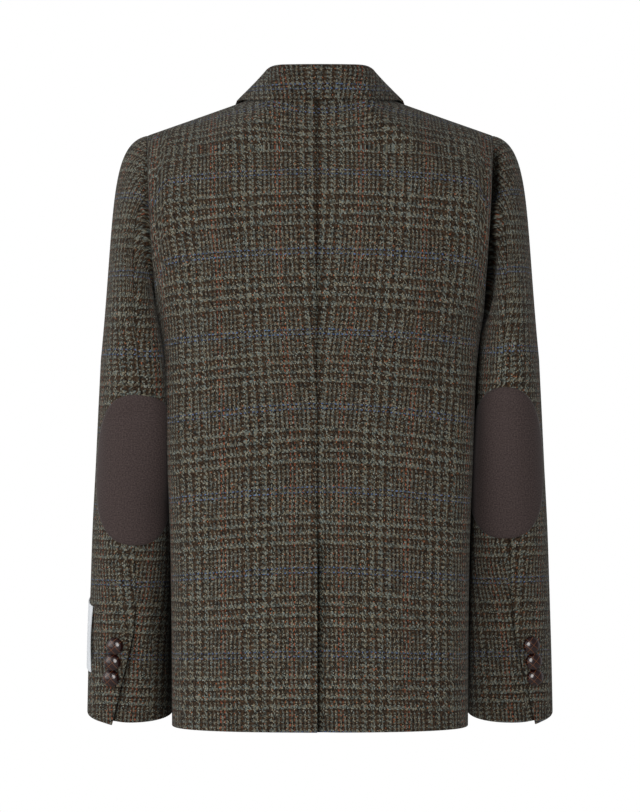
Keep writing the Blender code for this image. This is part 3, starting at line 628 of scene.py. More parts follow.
def coons(edges: dict[str, Array], across: Array, down: Array) -> Array:
    """Grid of places inside four edges: side blend + end blend - the corners' bilinear blend.

    Args:
        edges: places along "left" and "right", one a row, and "top" and "bottom", one a column.
        across: fractions of the columns.
        down: fractions of the rows.

    Returns:
        Grid of places, with their coordinates along the last axis.
    """
    left, right = edges["left"][:, None], edges["right"][:, None]
    upper, lower = edges["top"][None], edges["bottom"][None]
    across, down = across[None, :, None], down[:, None, None]
    corners = (
        (1 - across) * (1 - down) * upper[:, :1]
        + across * (1 - down) * upper[:, -1:]
        + (1 - across) * down * lower[:, :1]
        + across * down * lower[:, -1:]
    )
    sides = (1 - across) * left + across * right
    return sides + (1 - down) * upper + down * lower - corners


# --- finishes ---


def linear(colour: str) -> tuple[float, float, float, float]:
    """An sRGB hex colour such as "7a5c40" as linear RGBA."""
    parts = (int(colour[at : at + 2], 16) / 255 for at in (0, 2, 4))
    red, green, blue = (p / 12.92 if p <= 0.04045 else ((p + 0.055) / 1.055) ** 2.4 for p in parts)
    return red, green, blue, 1.0


def add_node(
    tree: Tree,
    kind: str,
    inputs: dict[int | str, Input],
    output: int | str | None = 0,
    **settings: object,
) -> Socket | list[Socket] | None:
    """Adds a shader node with its settings, and links or sets its inputs.

    Args:
        tree: the material's node tree.
        kind: the node's type, without ShaderNode.
        inputs: for each input's number or name, the socket to link or the value to set.
        output: number or name of the output that is wanted, or None for all of them.
        settings: the node's own properties.

    Returns:
        That output's socket, or the list of all of them.
    """
    node = tree.nodes.new("ShaderNode" + kind)
    for name, value in settings.items():
        setattr(node, name, value)
    for key, value in inputs.items():
        if isinstance(value, Socket):
            tree.links.new(value, node.inputs[key])
        else:
            node.inputs[key].default_value = value
    if output is None:
        return list(node.outputs)
    return node.outputs[output] if node.outputs else None


@dataclass(frozen=True)
class Finish:
    """A finish: the record's slot that it fills, and one material for all pieces that wear it."""

    name: str
    slot: str

    def inputs(self, tree: Tree) -> dict[str, Input]:
        """Adds the finish's own nodes to a material's tree, and gives its shader's inputs by name."""
        raise NotImplementedError

    @cached_property
    def material(self) -> bpy.types.Material:
        """The finish's material, built when the first piece wears it."""
        made = bpy.data.materials.new(self.name)
        made.use_nodes = True
        tree = made.node_tree
        tree.nodes.clear()
        shader = add_node(tree, "BsdfPrincipled", self.inputs(tree))
        add_node(tree, "OutputMaterial", {0: shader})
        return made


@dataclass(frozen=True)
class Napped(Finish):
    """A cloth with a nap, whose colour, gloss and sheen all fade under painted shade."""

    roughness: float
    gloss: float
    sheen: float
    sheen_roughness: float
    bump: Pair  # strength, and height in metres
    left_in_full_shade: float = 0.05  # what full painted shade leaves of the colour, gloss and sheen

    def pattern(self, tree: Tree) -> tuple[Socket, Socket]:
        """Adds the cloth's pattern to a material's tree, and gives its colour and its height."""
        raise NotImplementedError

    def inputs(self, tree: Tree) -> dict[str, Input]:
        """Paints shade on the pattern: scales it by 1 - (1 - left_in_full_shade) painted_shade.

        Args:
            tree: the material's node tree.

        Returns:
            The shader's inputs by name.
        """
        colour, height = self.pattern(tree)
        # painted shade: darkens the colour and lowers the gloss and sheen where the shade map is high
        painted_shade = add_node(tree, "UVMap", {}, uv_map=PAINTED_SHADE_MAP)
        painted_shade = add_node(tree, "SeparateXYZ", {0: painted_shade})
        in_open = add_node(tree, "MapRange", {0: painted_shade, 3: 1.0, 4: self.left_in_full_shade})
        gloss = add_node(tree, "Math", {0: in_open, 1: self.gloss}, operation="MULTIPLY")
        sheen = add_node(tree, "Math", {0: in_open, 1: self.sheen}, operation="MULTIPLY")
        faded = add_node(tree, "VectorMath", {0: colour, "Scale": in_open}, operation="SCALE")
        bump = {"Strength": self.bump[0], "Distance": self.bump[1], "Height": height}
        return {
            "Base Color": faded,
            "Roughness": self.roughness,
            "Specular IOR Level": gloss,
            "Sheen Weight": sheen,
            "Sheen Roughness": self.sheen_roughness,
            "Normal": add_node(tree, "Bump", bump),
        }


@dataclass(frozen=True)
class Tweed(Napped):
    """Woollen 2/2 twill in a glen check, soft and hairy: a mottled mesh of two heather yarns.

    Half of each repeat is four ends dark and four light, the other half two and two. A pair of
    rust ends and a pair of blue picks run through the middle of the two-and-two zones.
    """

    name: str = "woollen_glen_check_tweed"
    slot: str = "tweed"
    repeat: int = 64  # threads, both ways
    pair_at: int = 48  # thread in the middle of an overcheck's pair
    pair_apart: int = 2  # threads from there to each of the pair
    light: str = "616259"
    dark: str = "35281c"
    rust: str = "6c3a27"
    blue: str = "44526c"
    pale_fleck: str = "8f8d80"
    warm_fleck: str = "8a5234"
    cool_strand: tuple[float, float, float] = (0.84, 1.00, 1.16)  # what dyed strands do to a yarn
    warm_strand: tuple[float, float, float] = (1.20, 1.00, 0.80)
    flecked: float = 0.014  # part of the crossings that hold a fleck
    in_twos: float = 0.80  # how far the two-and-two's light ends are from the dark
    bends: tuple[tuple[float, tuple[float, float, float]], ...] = (
        (0.11, (1.1, 1.4, 0.0)),
        (0.9, (1.2, 1.5, 0.0)),
    )  # wander of the threads: noise a thread, and how many threads it moves them both ways
    streak: float = 0.30  # heather's noise a thread, along the yarn
    yarns_apart: float = 3.7  # from one yarn's noise to the next one's
    heather: Pair = (0.78, 1.22)  # darkest and lightest of each kind of mottling
    fuzz: Pair = (0.46, 1.54)
    speck: Pair = (0.12, 1.88)
    # painted shade and highlight on each yarn: darkest where it dips under the next, lightest on its
    # crown
    arch: Pair = (0.55, 1.15)
    roughness: float = 0.92
    gloss: float = 0.2
    sheen: float = 0.06
    sheen_roughness: float = 0.5
    bump: Pair = (0.6, 0.0004)

    def yarns(self, tree: Tree, count: Socket, tint: str) -> Socket:
        """Colour of the yarn with a number: dark or light by its place, or the overcheck's tint.

        Args:
            tree: the material's node tree.
            count: number of the end or pick.
            tint: colour of the overcheck's pair.

        Returns:
            Colour socket.
        """
        place = add_node(tree, "Math", {0: count, 1: self.repeat}, operation="FLOORED_MODULO")
        by_eight = add_node(tree, "Math", {0: count, 1: 8.0}, operation="FLOORED_MODULO")
        by_four = add_node(tree, "Math", {0: count, 1: 4.0}, operation="FLOORED_MODULO")
        fours = add_node(tree, "Math", {0: by_eight, 1: 3.5}, operation="LESS_THAN")
        twos = add_node(tree, "Math", {0: by_four, 1: 1.5}, operation="LESS_THAN")
        coarse = add_node(tree, "Math", {0: place, 1: self.repeat / 2 - 0.5}, operation="LESS_THAN")
        twos = add_node(tree, "Math", {0: twos, 1: self.in_twos}, operation="MULTIPLY")
        is_light = add_node(tree, "Mix", {0: coarse, 2: twos, 3: fours}, 0)
        pair = {0: is_light, 6: linear(self.dark), 7: linear(self.light)}
        colour = add_node(tree, "Mix", pair, 2, data_type="RGBA")
        centred = add_node(tree, "Math", {0: place, 1: self.pair_at}, operation="SUBTRACT")
        apart = add_node(tree, "Math", {0: centred}, operation="ABSOLUTE")
        of_pair = {0: apart, 1: self.pair_apart, 2: 0.5}
        of_pair = add_node(tree, "Math", of_pair, operation="COMPARE")
        return add_node(tree, "Mix", {0: of_pair, 6: colour, 7: linear(tint)}, 2, data_type="RGBA")

    def mottled(
        self, tree: Tree, threads: Socket, end: Socket, pick: Socket, warp_up: Socket
    ) -> tuple[Socket, Socket]:
        """Mottling of the yarns: heather streaks along the one on top, and loose fuzz over all.

        Args:
            tree: the material's node tree.
            threads: place, counted in threads.
            end: number of the end there.
            pick: number of the pick there.
            warp_up: 1 where the end is on top, else 0.

        Returns:
            The heather's and the fuzz's factors.
        """
        places = []
        for number, apart, streak in (
            ({1: pick, 2: 3.0}, (0, self.yarns_apart, 1), (self.streak, 0.0, 0.0)),
            ({0: end}, (self.yarns_apart, 0, 0), (0.0, self.streak, 0.0)),
        ):
            along = add_node(tree, "VectorMath", {0: threads, 1: streak}, operation="MULTIPLY")
            place = {0: add_node(tree, "CombineXYZ", number), 1: apart, 2: along}
            places.append(add_node(tree, "VectorMath", place, operation="MULTIPLY_ADD"))
        place = {0: warp_up, 4: places[0], 5: places[1]}
        place = add_node(tree, "Mix", place, 1, data_type="VECTOR")
        heather = add_node(tree, "TexNoise", {"Vector": place, "Scale": 1.0, "Detail": 3.0})
        dark, light = self.heather
        heather = add_node(tree, "MapRange", {0: heather, 1: 0.28, 2: 0.72, 3: dark, 4: light})
        fuzz = add_node(tree, "TexNoise", {"Vector": threads, "Scale": 1.2, "Detail": 3.0})
        dark, light = self.fuzz
        return heather, add_node(tree, "MapRange", {0: fuzz, 1: 0.3, 2: 0.7, 3: dark, 4: light})

    def pattern(self, tree: Tree) -> tuple[Socket, Socket]:
        """Counts the weave map in ends and picks, and colours each crossing by the yarn on top.

        A pick is under an end where their numbers' sum, counted by four, is two or three.

        Args:
            tree: the material's node tree.

        Returns:
            The colour, and the height of the yarns' arches and fuzz.
        """
        place = add_node(tree, "UVMap", {}, uv_map=WEAVE_MAP)
        pitch = (self.repeat / CHECK[0], self.repeat / CHECK[1], 1.0)
        middle = (self.pair_at + 0.5, self.pair_at + 0.5, 0.0)
        threads = {0: place, 1: pitch, 2: middle}
        threads = add_node(tree, "VectorMath", threads, operation="MULTIPLY_ADD")
        bent = threads
        for scale, reach in self.bends:
            wander = {"Vector": threads, "Scale": scale, "Detail": 2.0}
            wander = add_node(tree, "TexNoise", wander, 1)
            bent = {0: wander, 1: reach, 2: bent}
            bent = add_node(tree, "VectorMath", bent, operation="MULTIPLY_ADD")
        whole = add_node(tree, "VectorMath", {0: bent}, operation="FLOOR")
        part = add_node(tree, "VectorMath", {0: bent}, operation="FRACTION")
        end, pick, _ = add_node(tree, "SeparateXYZ", {0: whole}, None)
        across_end, across_pick, _ = add_node(tree, "SeparateXYZ", {0: part}, None)
        total = add_node(tree, "Math", {0: end, 1: pick}, operation="ADD")
        step = add_node(tree, "Math", {0: total, 1: 4.0}, operation="FLOORED_MODULO")
        warp_up = add_node(tree, "Math", {0: step, 1: 1.5}, operation="GREATER_THAN")
        picks, ends = self.yarns(tree, pick, self.blue), self.yarns(tree, end, self.rust)
        colour = add_node(tree, "Mix", {0: warp_up, 6: picks, 7: ends}, 2, data_type="RGBA")
        heather, fuzz = self.mottled(tree, threads, end, pick, warp_up)
        tone = add_node(tree, "Math", {0: heather, 1: fuzz}, operation="MULTIPLY")
        chance = add_node(tree, "TexWhiteNoise", {"Vector": whole}, noise_dimensions="2D")
        speck = add_node(tree, "MapRange", {0: chance, 3: self.speck[0], 4: self.speck[1]})
        tone = add_node(tree, "Math", {0: tone, 1: speck}, operation="MULTIPLY")
        # painted shade and highlight over each yarn's arch
        arch = add_node(tree, "Mix", {0: warp_up, 2: across_pick, 3: across_end}, 0)
        arch = add_node(tree, "Math", {0: arch, 1: math.pi}, operation="MULTIPLY")
        arch = add_node(tree, "Math", {0: arch}, operation="SINE")
        shade = add_node(tree, "MapRange", {0: arch, 3: self.arch[0], 4: self.arch[1]})
        tone = add_node(tree, "Math", {0: tone, 1: shade}, operation="MULTIPLY")
        strand = add_node(tree, "VectorMath", {0: whole, 1: (1.0, 1.0, 1.0)}, operation="ADD")
        strand = add_node(tree, "TexWhiteNoise", {"Vector": strand, "W": 7.0}, noise_dimensions="4D")
        dyed = {0: strand, 4: self.cool_strand, 5: self.warm_strand}
        dyed = add_node(tree, "Mix", dyed, 1, data_type="VECTOR")
        colour = add_node(tree, "VectorMath", {0: colour, 1: dyed}, operation="MULTIPLY")
        colour = add_node(tree, "VectorMath", {0: colour, "Scale": tone}, operation="SCALE")
        warm = add_node(tree, "Math", {0: chance, 1: 1 - self.flecked / 2}, operation="GREATER_THAN")
        fleck = {0: warm, 6: linear(self.pale_fleck), 7: linear(self.warm_fleck)}
        fleck = add_node(tree, "Mix", fleck, 2, data_type="RGBA")
        has_fleck = add_node(tree, "Math", {0: chance, 1: 1 - self.flecked}, operation="GREATER_THAN")
        colour = add_node(tree, "Mix", {0: has_fleck, 6: colour, 7: fleck}, 2, data_type="RGBA")
        return colour, add_node(tree, "Math", {0: arch, 1: fuzz}, operation="ADD")


@dataclass(frozen=True)
class Suede(Napped):
    """Dark brown suede with a short, brushed pile: a matt, even nap with fine grain."""

    name: str = "dark_brown_suede"
    slot: str = "patch_suede"
    colour: str = "312827"
    pale: str = "504442"
    grain: float = 650.0  # grains a metre, coarser than the real nap so that it shows
    roughness: float = 0.88
    gloss: float = 0.2
    sheen: float = 0.12
    sheen_roughness: float = 0.4
    bump: Pair = (0.25, 0.0003)

    def pattern(self, tree: Tree) -> tuple[Socket, Socket]:
        """Two browns mixed by fine noise, which is also the height."""
        place = add_node(tree, "UVMap", {}, uv_map=WEAVE_MAP)
        nap = add_node(tree, "TexNoise", {"Vector": place, "Scale": self.grain, "Detail": 3.0})
        mix = add_node(tree, "MapRange", {0: nap, 1: 0.3, 2: 0.7})
        colour = {0: mix, 6: linear(self.colour), 7: linear(self.pale)}
        return add_node(tree, "Mix", colour, 2, data_type="RGBA"), nap


@dataclass(frozen=True)
class WovenLeather(Finish):
    """Oxblood calf in plaited straps, waxed: glossy crowns with pale, rubbed strap edges."""

    name: str = "oxblood_plaited_leather"
    slot: str = "button_leather"
    colour: str = "200707"
    edge: str = "84502c"
    strap: float = 0.0029  # half the width of the middle straps
    rubbed: Pair = (0.00008, 0.00022)  # where a pale line starts and stops to fade

    def inputs(self, tree: Tree) -> dict[str, Input]:
        """Pale lines where | |x| - strap | = 0, both ways of the map."""
        place = add_node(tree, "UVMap", {}, uv_map=WEAVE_MAP)
        offs = []
        for way in add_node(tree, "SeparateXYZ", {0: place}, None)[:2]:
            off = add_node(tree, "Math", {0: way}, operation="ABSOLUTE")
            off = add_node(tree, "Math", {0: off, 1: self.strap}, operation="SUBTRACT")
            offs.append(add_node(tree, "Math", {0: off}, operation="ABSOLUTE"))
        off_edge = add_node(tree, "Math", dict(enumerate(offs)), operation="MINIMUM")
        mix = add_node(tree, "MapRange", {0: off_edge, 1: self.rubbed[0], 2: self.rubbed[1]})
        colour = {0: mix, 6: linear(self.edge), 7: linear(self.colour)}
        colour = add_node(tree, "Mix", colour, 2, data_type="RGBA")
        return {"Base Color": colour, "Roughness": 0.18, "Specular IOR Level": 0.75}


@dataclass(frozen=True)
class LabelSatin(Finish):
    """White polyester satin tape, woven fine: a soft sheen and faint ribs across it."""

    name: str = "white_satin_tape"
    slot: str = "label_cloth"
    colour: str = "eef2f7"
    rib: float = 0.0008  # coarser than the real ones, so that they show
    bump: float = 0.0002

    def inputs(self, tree: Tree) -> dict[str, Input]:
        """A near-white, with a sine of the place down it as its ribs' bump."""
        place = add_node(tree, "UVMap", {}, uv_map=WEAVE_MAP)
        down = add_node(tree, "SeparateXYZ", {0: place}, 1)
        turns = {0: down, 1: 2 * math.pi / self.rib}
        turns = add_node(tree, "Math", turns, operation="MULTIPLY")
        ribs = add_node(tree, "Math", {0: turns}, operation="SINE")
        bump = {"Strength": 0.15, "Distance": self.bump, "Height": ribs}
        return {
            "Base Color": linear(self.colour),
            "Roughness": 0.55,
            "Sheen Weight": 0.15,
            "Normal": add_node(tree, "Bump", bump),
        }


@dataclass(frozen=True)
class MattPaint(Finish):
    """Pale matt paint on the studio's floor, which fills no slot of the record."""

    name: str = "pale_matt_paint"
    slot: str = ""
    colour: str = "c2c2c0"

    def inputs(self, tree: Tree) -> dict[str, Input]:
        """One even colour."""
        return {"Base Color": linear(self.colour), "Roughness": 0.9}


TWEED, SUEDE, LEATHER, SATIN = Tweed(), Suede(), WovenLeather(), LabelSatin()


# --- pieces ---


@dataclass(frozen=True)
class Cut:
    """The part of the flat piece that shows once it is sewn, in metres, and how it is held."""

    width: float
    length: float
    area: float
    held: str = "hung"
    rests_on: tuple[str, ...] = ()


def dress(piece: bpy.types.Object, node: str, finish: Finish, cut: Cut | None = None) -> None:
    """Gives a piece its finish and its place in the frame, and reports it.

    Args:
        piece: the new piece.
        node: the node that it stands for.
        finish: what it is made of.
        cut: its flat size, if it is a sheet of cloth; not used.
    """
    mesh = piece.data
    mesh.materials.append(finish.material)
    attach(piece, "root")
    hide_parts(node)
    area = np.empty(len(mesh.polygons), np.float32)
    mesh.polygons.foreach_get("area", area)
    size = piece.dimensions
    report = "%s: %d triangles, %.4f m2, %.3f x %.3f m"
    log.info(report, piece.name, 2 * len(mesh.polygons), area.sum() / 2, size[0], size[2])


@dataclass(frozen=True)
class Body:
    """The two backs and the two fronts, with the centre vent and the rounded quarters."""

    hem_height: float = -0.685
    back_seam_x: float = 0.003
    neck_height: float = 0.003
    vent_top: float = -0.481
    vent_underlap: float = 0.035
    underlap_start: float = 0.004  # where the underlap joins the rest of the back
    underlap_steps: int = 12
    vent_rows: int = 6  # above its top, over which the vent opens
    vent_lift: Pair = (0.0013, 0.015)  # of the upper edge, and how far it reaches
    vent_sink: Pair = (0.0034, 0.012)  # of the cloth beside it
    underarm_down: float = 0.308
    neck_across: float = 0.36
    hem_bunching: float = 1.3
    shoulder_seam_turn: float = math.radians(0.3)
    seam_drop: float = 1e-7  # of the shoulder seam below the shoulder line, where the form ends
    side_angle: float = math.pi / 2
    neck_side_height: float = 0.0045
    neck_joined: float = 0.03  # fraction down by which the front's edge has left the shoulder seam
    front_lap: float = 0.020
    lap_height: float = -0.100  # by which the fronts lap in full
    break_height: float = -0.285
    break_x: float = 0.0025
    straight_heights: tuple[float, ...] = (-0.300, -0.330, -0.500)  # on the edge below the break
    quarter_start: float = -0.480
    quarter_end_x: float = 0.105
    quarter_corner: float = math.radians(52)
    quarter_down: float = 0.66
    quarter_across: float = 0.34
    front_hem: float = -0.692
    roll_top_x: float = 0.064
    roll_top_height: float = -0.020
    right_short: float = 0.002
    under_x: Pair = (0.052, 0.030)  # over which the right front drops beneath
    under_height: Pair = (-0.160, -0.200)
    width: float = 0.165
    front_width: float = 0.198
    length: float = 0.70
    cuts: dict[str, Cut] = by_node(
        back_left=Cut(0.235, 0.70, 0.142),
        back_right=Cut(0.265, 0.70, 0.152),
        front_left=Cut(0.270, 0.73, 0.156),
        front_right=Cut(0.270, 0.73, 0.154),
    )
    back_folds: dict[Side, tuple[Fold, ...]] = per_side(
        (
            Fold((0.150, -0.215), (0.108, -0.330), 0.013, 0.0022, 0.010),
            Fold((0.168, -0.270), (0.118, -0.420), 0.011, 0.0018, -0.008, 0.7),
            Fold((0.122, -0.060), (0.132, -0.230), 0.016, 0.0014, 0.006),
            Fold((0.070, -0.400), (0.160, -0.455), 0.014, 0.0010, 0.006),
            Fold((0.120, -0.470), (0.128, -0.670), 0.018, 0.0016),
        ),
        (
            Fold((0.155, -0.225), (0.100, -0.350), 0.014, 0.0020, 0.012),
            Fold((0.160, -0.300), (0.125, -0.440), 0.012, 0.0014, -0.006),
            Fold((0.132, -0.070), (0.126, -0.240), 0.015, 0.0018, -0.006),
            Fold((0.090, -0.430), (0.155, -0.470), 0.013, 0.0010),
            Fold((0.098, -0.480), (0.110, -0.670), 0.016, 0.0016, 0.004),
        ),
    )
    front_folds: dict[Side, tuple[Fold, ...]] = per_side(
        (
            Fold((0.150, -0.210), (0.060, -0.300), 0.014, 0.0022, 0.010),
            Fold((0.155, -0.260), (0.090, -0.370), 0.012, 0.0016, 0.006),
            Fold((0.130, -0.080), (0.138, -0.200), 0.012, 0.0014),
            Fold((0.100, -0.550), (0.108, -0.680), 0.016, 0.0014),
        ),
        (
            Fold((0.150, -0.215), (0.070, -0.290), 0.013, 0.0020, 0.008),
            Fold((0.158, -0.270), (0.100, -0.390), 0.013, 0.0018, 0.008),
            Fold((0.126, -0.090), (0.136, -0.205), 0.013, 0.0012),
            Fold((0.112, -0.560), (0.104, -0.680), 0.015, 0.0014),
        ),
    )
    roll: dict[Side, float] = per_side(0.0050, 0.0095)  # of the back along its armhole
    roll_reach: float = 0.026
    roll_edge: float = 0.0016
    roll_down: tuple[float, ...] = (0.03, 0.12, 0.42, 0.64)  # fractions down where it is there
    vent_shade: Pair = (0.97, 0.0032)  # painted shade in the vent's gap, 0 to 1, and its reach
    # painted shade on the back's side edges, under the sleeves: depth, 0 to 1, and reach
    side_shade: dict[Side, Pair] = per_side((0.36, 0.014), (0.20, 0.010))
    side_down: Pair = (0.50, 0.70)  # fractions down over which the side's painted shade comes in
    cloth_at: float = -0.0435  # where a blue pair crosses the centre, below the weave's level
    hang_at: float = 0.150  # across the body, where the hang's sag is measured
    sag_power: float = 1.6
    yoke_height: float = -0.060  # above it, the hang's shift is the centre's alone
    yoke_reach: float = 0.060
    hang: Rows = Rows(
        "shift sag",
        (0.010, -0.0180, 0.0060),
        (-0.019, -0.0180, 0.0060),
        (-0.088, -0.0018, 0.0065),
        (-0.172, -0.0016, 0.0067),
        (-0.259, -0.0019, 0.0090),
        (-0.345, 0.0039, 0.0135),
        (-0.429, -0.0001, 0.0115),
        (-0.513, -0.0002, 0.0100),
        (-0.601, -0.0038, 0.0055),
        (-0.700, -0.0038, 0.0050),
    )  # how the weft wanders at the back's centre, and how much lower it hangs at the sides
    lines: dict[Side, Rows] = per_side(
        Rows(
            "first second",
            (0.020, 0.0475, 0.1170),
            (-0.070, 0.0470, 0.1165),
            (-0.132, 0.0463, 0.1156),
            (-0.190, 0.0445, 0.1101),
            (-0.235, 0.0416, 0.1088),
            (-0.297, 0.0366, 0.1074),
            (-0.370, 0.0309, 0.1061),
            (-0.440, 0.0309, 0.1051),
            (-0.700, 0.0309, 0.1051),
        ),
        Rows(
            "first second",
            (0.020, 0.0415, 0.1145),
            (-0.100, 0.0425, 0.1140),
            (-0.132, 0.0415, 0.1122),
            (-0.173, 0.0384, 0.1110),
            (-0.235, 0.0331, 0.1065),
            (-0.276, 0.0277, 0.1030),
            (-0.320, 0.0240, 0.0994),
            (-0.360, 0.0213, 0.0960),
            (-0.440, 0.0213, 0.0921),
            (-0.700, 0.0213, 0.0921),
        ),
    )  # across the back to its rust pairs

    def side_edge(self, face: int, down: Array) -> Array:
        """A panel's outer edge: round the armhole, then down the side seam.

        Args:
            face: 1 on the back, -1 on the front.
            down: fractions of the rows.

        Returns:
            Its (angle, height) places.
        """
        turn = math.pi * down / self.underarm_down
        angle, height, _ = BODY.armhole(face * np.clip(turn, self.shoulder_seam_turn, math.pi))
        below = np.clip((down - self.underarm_down) / (1 - self.underarm_down), 0, 1)
        low = BODY.underarm_height + (self.hem_height - BODY.underarm_height) * below
        height = np.where(below > 0, low, height)
        angle = np.where(down >= self.underarm_down, self.side_angle, angle)
        return np.stack([np.minimum(angle, self.side_angle), height], axis=-1)

    def shoulder(self, x: Array, face: int) -> Array:
        """Places along the shoulder seam."""
        height = BODY.ridge(x) - self.seam_drop
        return np.stack([BODY.angle_at(x, height, face), height], axis=-1)

    def back_places(self, centre_x: float, across: Array, down: Array) -> Array:
        """The back panel's places: its centre edge, neck and shoulder, side and hem, filled in.

        Args:
            centre_x: place of its centre edge across the body.
            across: fractions of the columns.
            down: fractions of the rows.

        Returns:
            Grid of (angle, height) places.
        """
        height = self.neck_height + (self.hem_height - self.neck_height) * down
        centre = np.stack([BODY.angle_at(centre_x, height, 1), height], axis=-1)
        half = BODY.neck_half_width
        round_neck = np.clip(across / self.neck_across, 0, 1)
        neck_x = centre_x + (half - centre_x) * np.sin(round_neck * math.pi / 2)
        neck_rise = BODY.ridge(half) - self.seam_drop - self.neck_height
        neck_height = self.neck_height + neck_rise * (neck_x / half) ** 4
        neck = np.stack([BODY.angle_at(neck_x, neck_height, 1), neck_height], axis=-1)
        out = np.clip((across - self.neck_across) / (1 - self.neck_across), 0, 1)
        seam = self.shoulder(half + (BODY.shoulder_x - half) * out, 1)
        top = np.where((across <= self.neck_across)[:, None], neck, seam)
        start = BODY.angle_at(centre_x, self.hem_height, 1)
        angle = start + (self.side_angle - start) * across**self.hem_bunching
        hem = np.stack([angle, np.full_like(across, self.hem_height)], axis=-1)
        edges = {"left": centre, "right": self.side_edge(1, down), "top": top, "bottom": hem}
        return coons(edges, across, down)

    def front_edge_x(self, at_height: Array) -> Array:
        """Across the body to the front's edge: down the neck and the roll line, then past centre."""
        edge, roll_x, roll_height = -self.front_lap, self.roll_top_x, self.roll_top_height
        knots = (
            (self.neck_side_height, BODY.neck_half_width),
            (roll_height, roll_x),
            ((roll_height + self.break_height) / 2, (roll_x + edge) / 2),
            (self.break_height, edge + self.break_x),
            *((height, edge) for height in self.straight_heights),
        )
        return Rows("x", *knots).at("x", at_height)

    def quarter(self, turn: Array) -> tuple[Array, Array]:
        """Place across and height on the front's rounded lower corner, a quarter of an ellipse."""
        x = self.quarter_end_x - (self.quarter_end_x + self.front_lap) * np.cos(turn)
        return x, self.quarter_start + (self.front_hem - self.quarter_start) * np.sin(turn)

    def front_places(self, lap: float, across: Array, down: Array) -> Array:
        """The front panel's places: its free edge, shoulder, side and rounded hem, filled in.

        Args:
            lap: how far its edge moves in where it passes the centre.
            across: fractions of the columns.
            down: fractions of the rows.

        Returns:
            Grid of (angle, height) places.
        """
        half = BODY.neck_half_width
        neck_top = BODY.ridge(half) - self.seam_drop
        height = neck_top + (self.quarter_start - neck_top) * np.clip(down / self.quarter_down, 0, 1)
        x = self.front_edge_x(height) + lap * ramp(height, 0.0, self.lap_height)
        below = np.clip((down - self.quarter_down) / (1 - self.quarter_down), 0, 1)
        round_x, round_height = self.quarter(self.quarter_corner * below)
        x = np.where(below > 0, round_x + lap * (1 - below), x)
        height = np.where(below > 0, round_height, height)
        edge = np.stack([BODY.angle_at(x, height, -1), height], axis=-1)
        top = self.shoulder(half + (BODY.shoulder_x - half) * across, -1)
        joining = ramp(down, self.neck_joined, 0.0)[:, None]  # both start at the shoulder seam's end
        edge = edge + (top[:1] - edge[:1]) * joining
        rounded = np.clip(across / self.quarter_across, 0, 1)
        turn = self.quarter_corner + (math.pi / 2 - self.quarter_corner) * rounded
        round_x, round_height = self.quarter(turn)
        curved = np.stack([BODY.angle_at(round_x, round_height, -1), round_height], axis=-1)
        out = np.clip((across - self.quarter_across) / (1 - self.quarter_across), 0, 1)
        start = BODY.angle_at(self.quarter_end_x, self.front_hem, -1)
        hem_height = self.front_hem + (self.hem_height - self.front_hem) * ease(out)
        straight = np.stack([start + (self.side_angle - start) * out, hem_height], axis=-1)
        hem = np.where((across <= self.quarter_across)[:, None], curved, straight)
        edges = {"left": edge, "right": self.side_edge(-1, down), "top": top, "bottom": hem}
        return coons(edges, across, down)

    def falls(self, across: Array, down: Array, rounds: tuple[Pair, ...]) -> Array:
        """How far a panel's outer face falls at its edges, from its grid's fractions."""
        first, top = across * self.width, down * self.length
        return edge_falls((first, self.width - first, top, self.length - top), rounds)

    def weave(self, places: Array, face: int, side: Side) -> Array:
        """Places of a panel on the flat cloth: nought is a rust pair and a blue pair.

        The girth of the back is measured from its first rust pair, and stretched so that the next
        is one check out. The drop takes in the hang, sag x (x / hang_at)^sag_power.

        Args:
            places: the panel's (angle, height) grid.
            face: 1 on the back, -1 on the front.
            side: the wearer's side.

        Returns:
            Places across and along the warp, in metres.
        """
        angle, height = places[..., 0], places[..., 1]
        girth, drop = BODY.lengths(angle, height, face)
        across = np.abs(BODY.point(angle, height, face)[..., 0])
        if face > 0:
            first, second = (
                BODY.lengths(BODY.angle_at(self.lines[side].at(line, height), height, 1), height, 1)
                for line in ("first", "second")
            )
            girth = girth - first[0]
            between_pairs = second[0] - first[0]
            spread = girth * CHECK[0] / between_pairs
            spread = np.where(girth > between_pairs, CHECK[0] + girth - between_pairs, spread)
            girth = np.where(girth > 0, spread, girth)
            near = np.where(height > self.yoke_height, bell(across, 1.0, self.yoke_reach), 1.0)
            drop = drop + self.hang.at("shift", height) * near
        drop = drop - self.hang.at("sag", height) * (across / self.hang_at) ** self.sag_power
        return np.stack([girth * side.value, drop - self.cloth_at], axis=-1)

    def sink(self, angle: Array, height: Array, face: int, side: Side) -> Array:
        """How far the folds take the cloth below the form."""
        folds = self.back_folds if face > 0 else self.front_folds
        return -relief_of(folds[side], BODY.point(angle, height, face)[..., 0], height)

    def back_roll(self, across: Array, down: Array, side: Side) -> Array:
        """Roll of the back along its armhole and side, a bell that is level again at the edge.

        Args:
            across: fractions of the columns.
            down: fractions of the rows.
            side: the wearer's side.

        Returns:
            How far each place moves backwards, in metres.
        """
        off = (1 - across) * self.width
        out = bell(off, 1.0, self.roll_reach) * (1 - bell(off, 1.0, self.roll_edge))
        return self.roll[side] * between(down, *self.roll_down)[:, None] * out[None, :]

    def back_painted_shade(self, across: Array, down: Array, vent_down: float, side: Side) -> Array:
        """Painted shade on the back: along its centre seam, in the vent's gap and on the side under
        the sleeve.

        Args:
            across: fractions of the columns.
            down: fractions of the rows.
            vent_down: fraction at which the vent starts.
            side: the wearer's side.

        Returns:
            Painted shade, 0 to 1, on the grid.
        """
        off = across[None, :] * self.width
        in_vent = ramp(down, vent_down - 0.01, vent_down + 0.04)[:, None]
        seam = bell(off, *SEAM_SHADE) * (1 - in_vent)
        vent = bell(off, *self.vent_shade) * in_vent if side is Side.RIGHT else 0
        low = ramp(down, *self.side_down)[:, None]
        return seam + vent + low * bell(self.width - off, *self.side_shade[side])

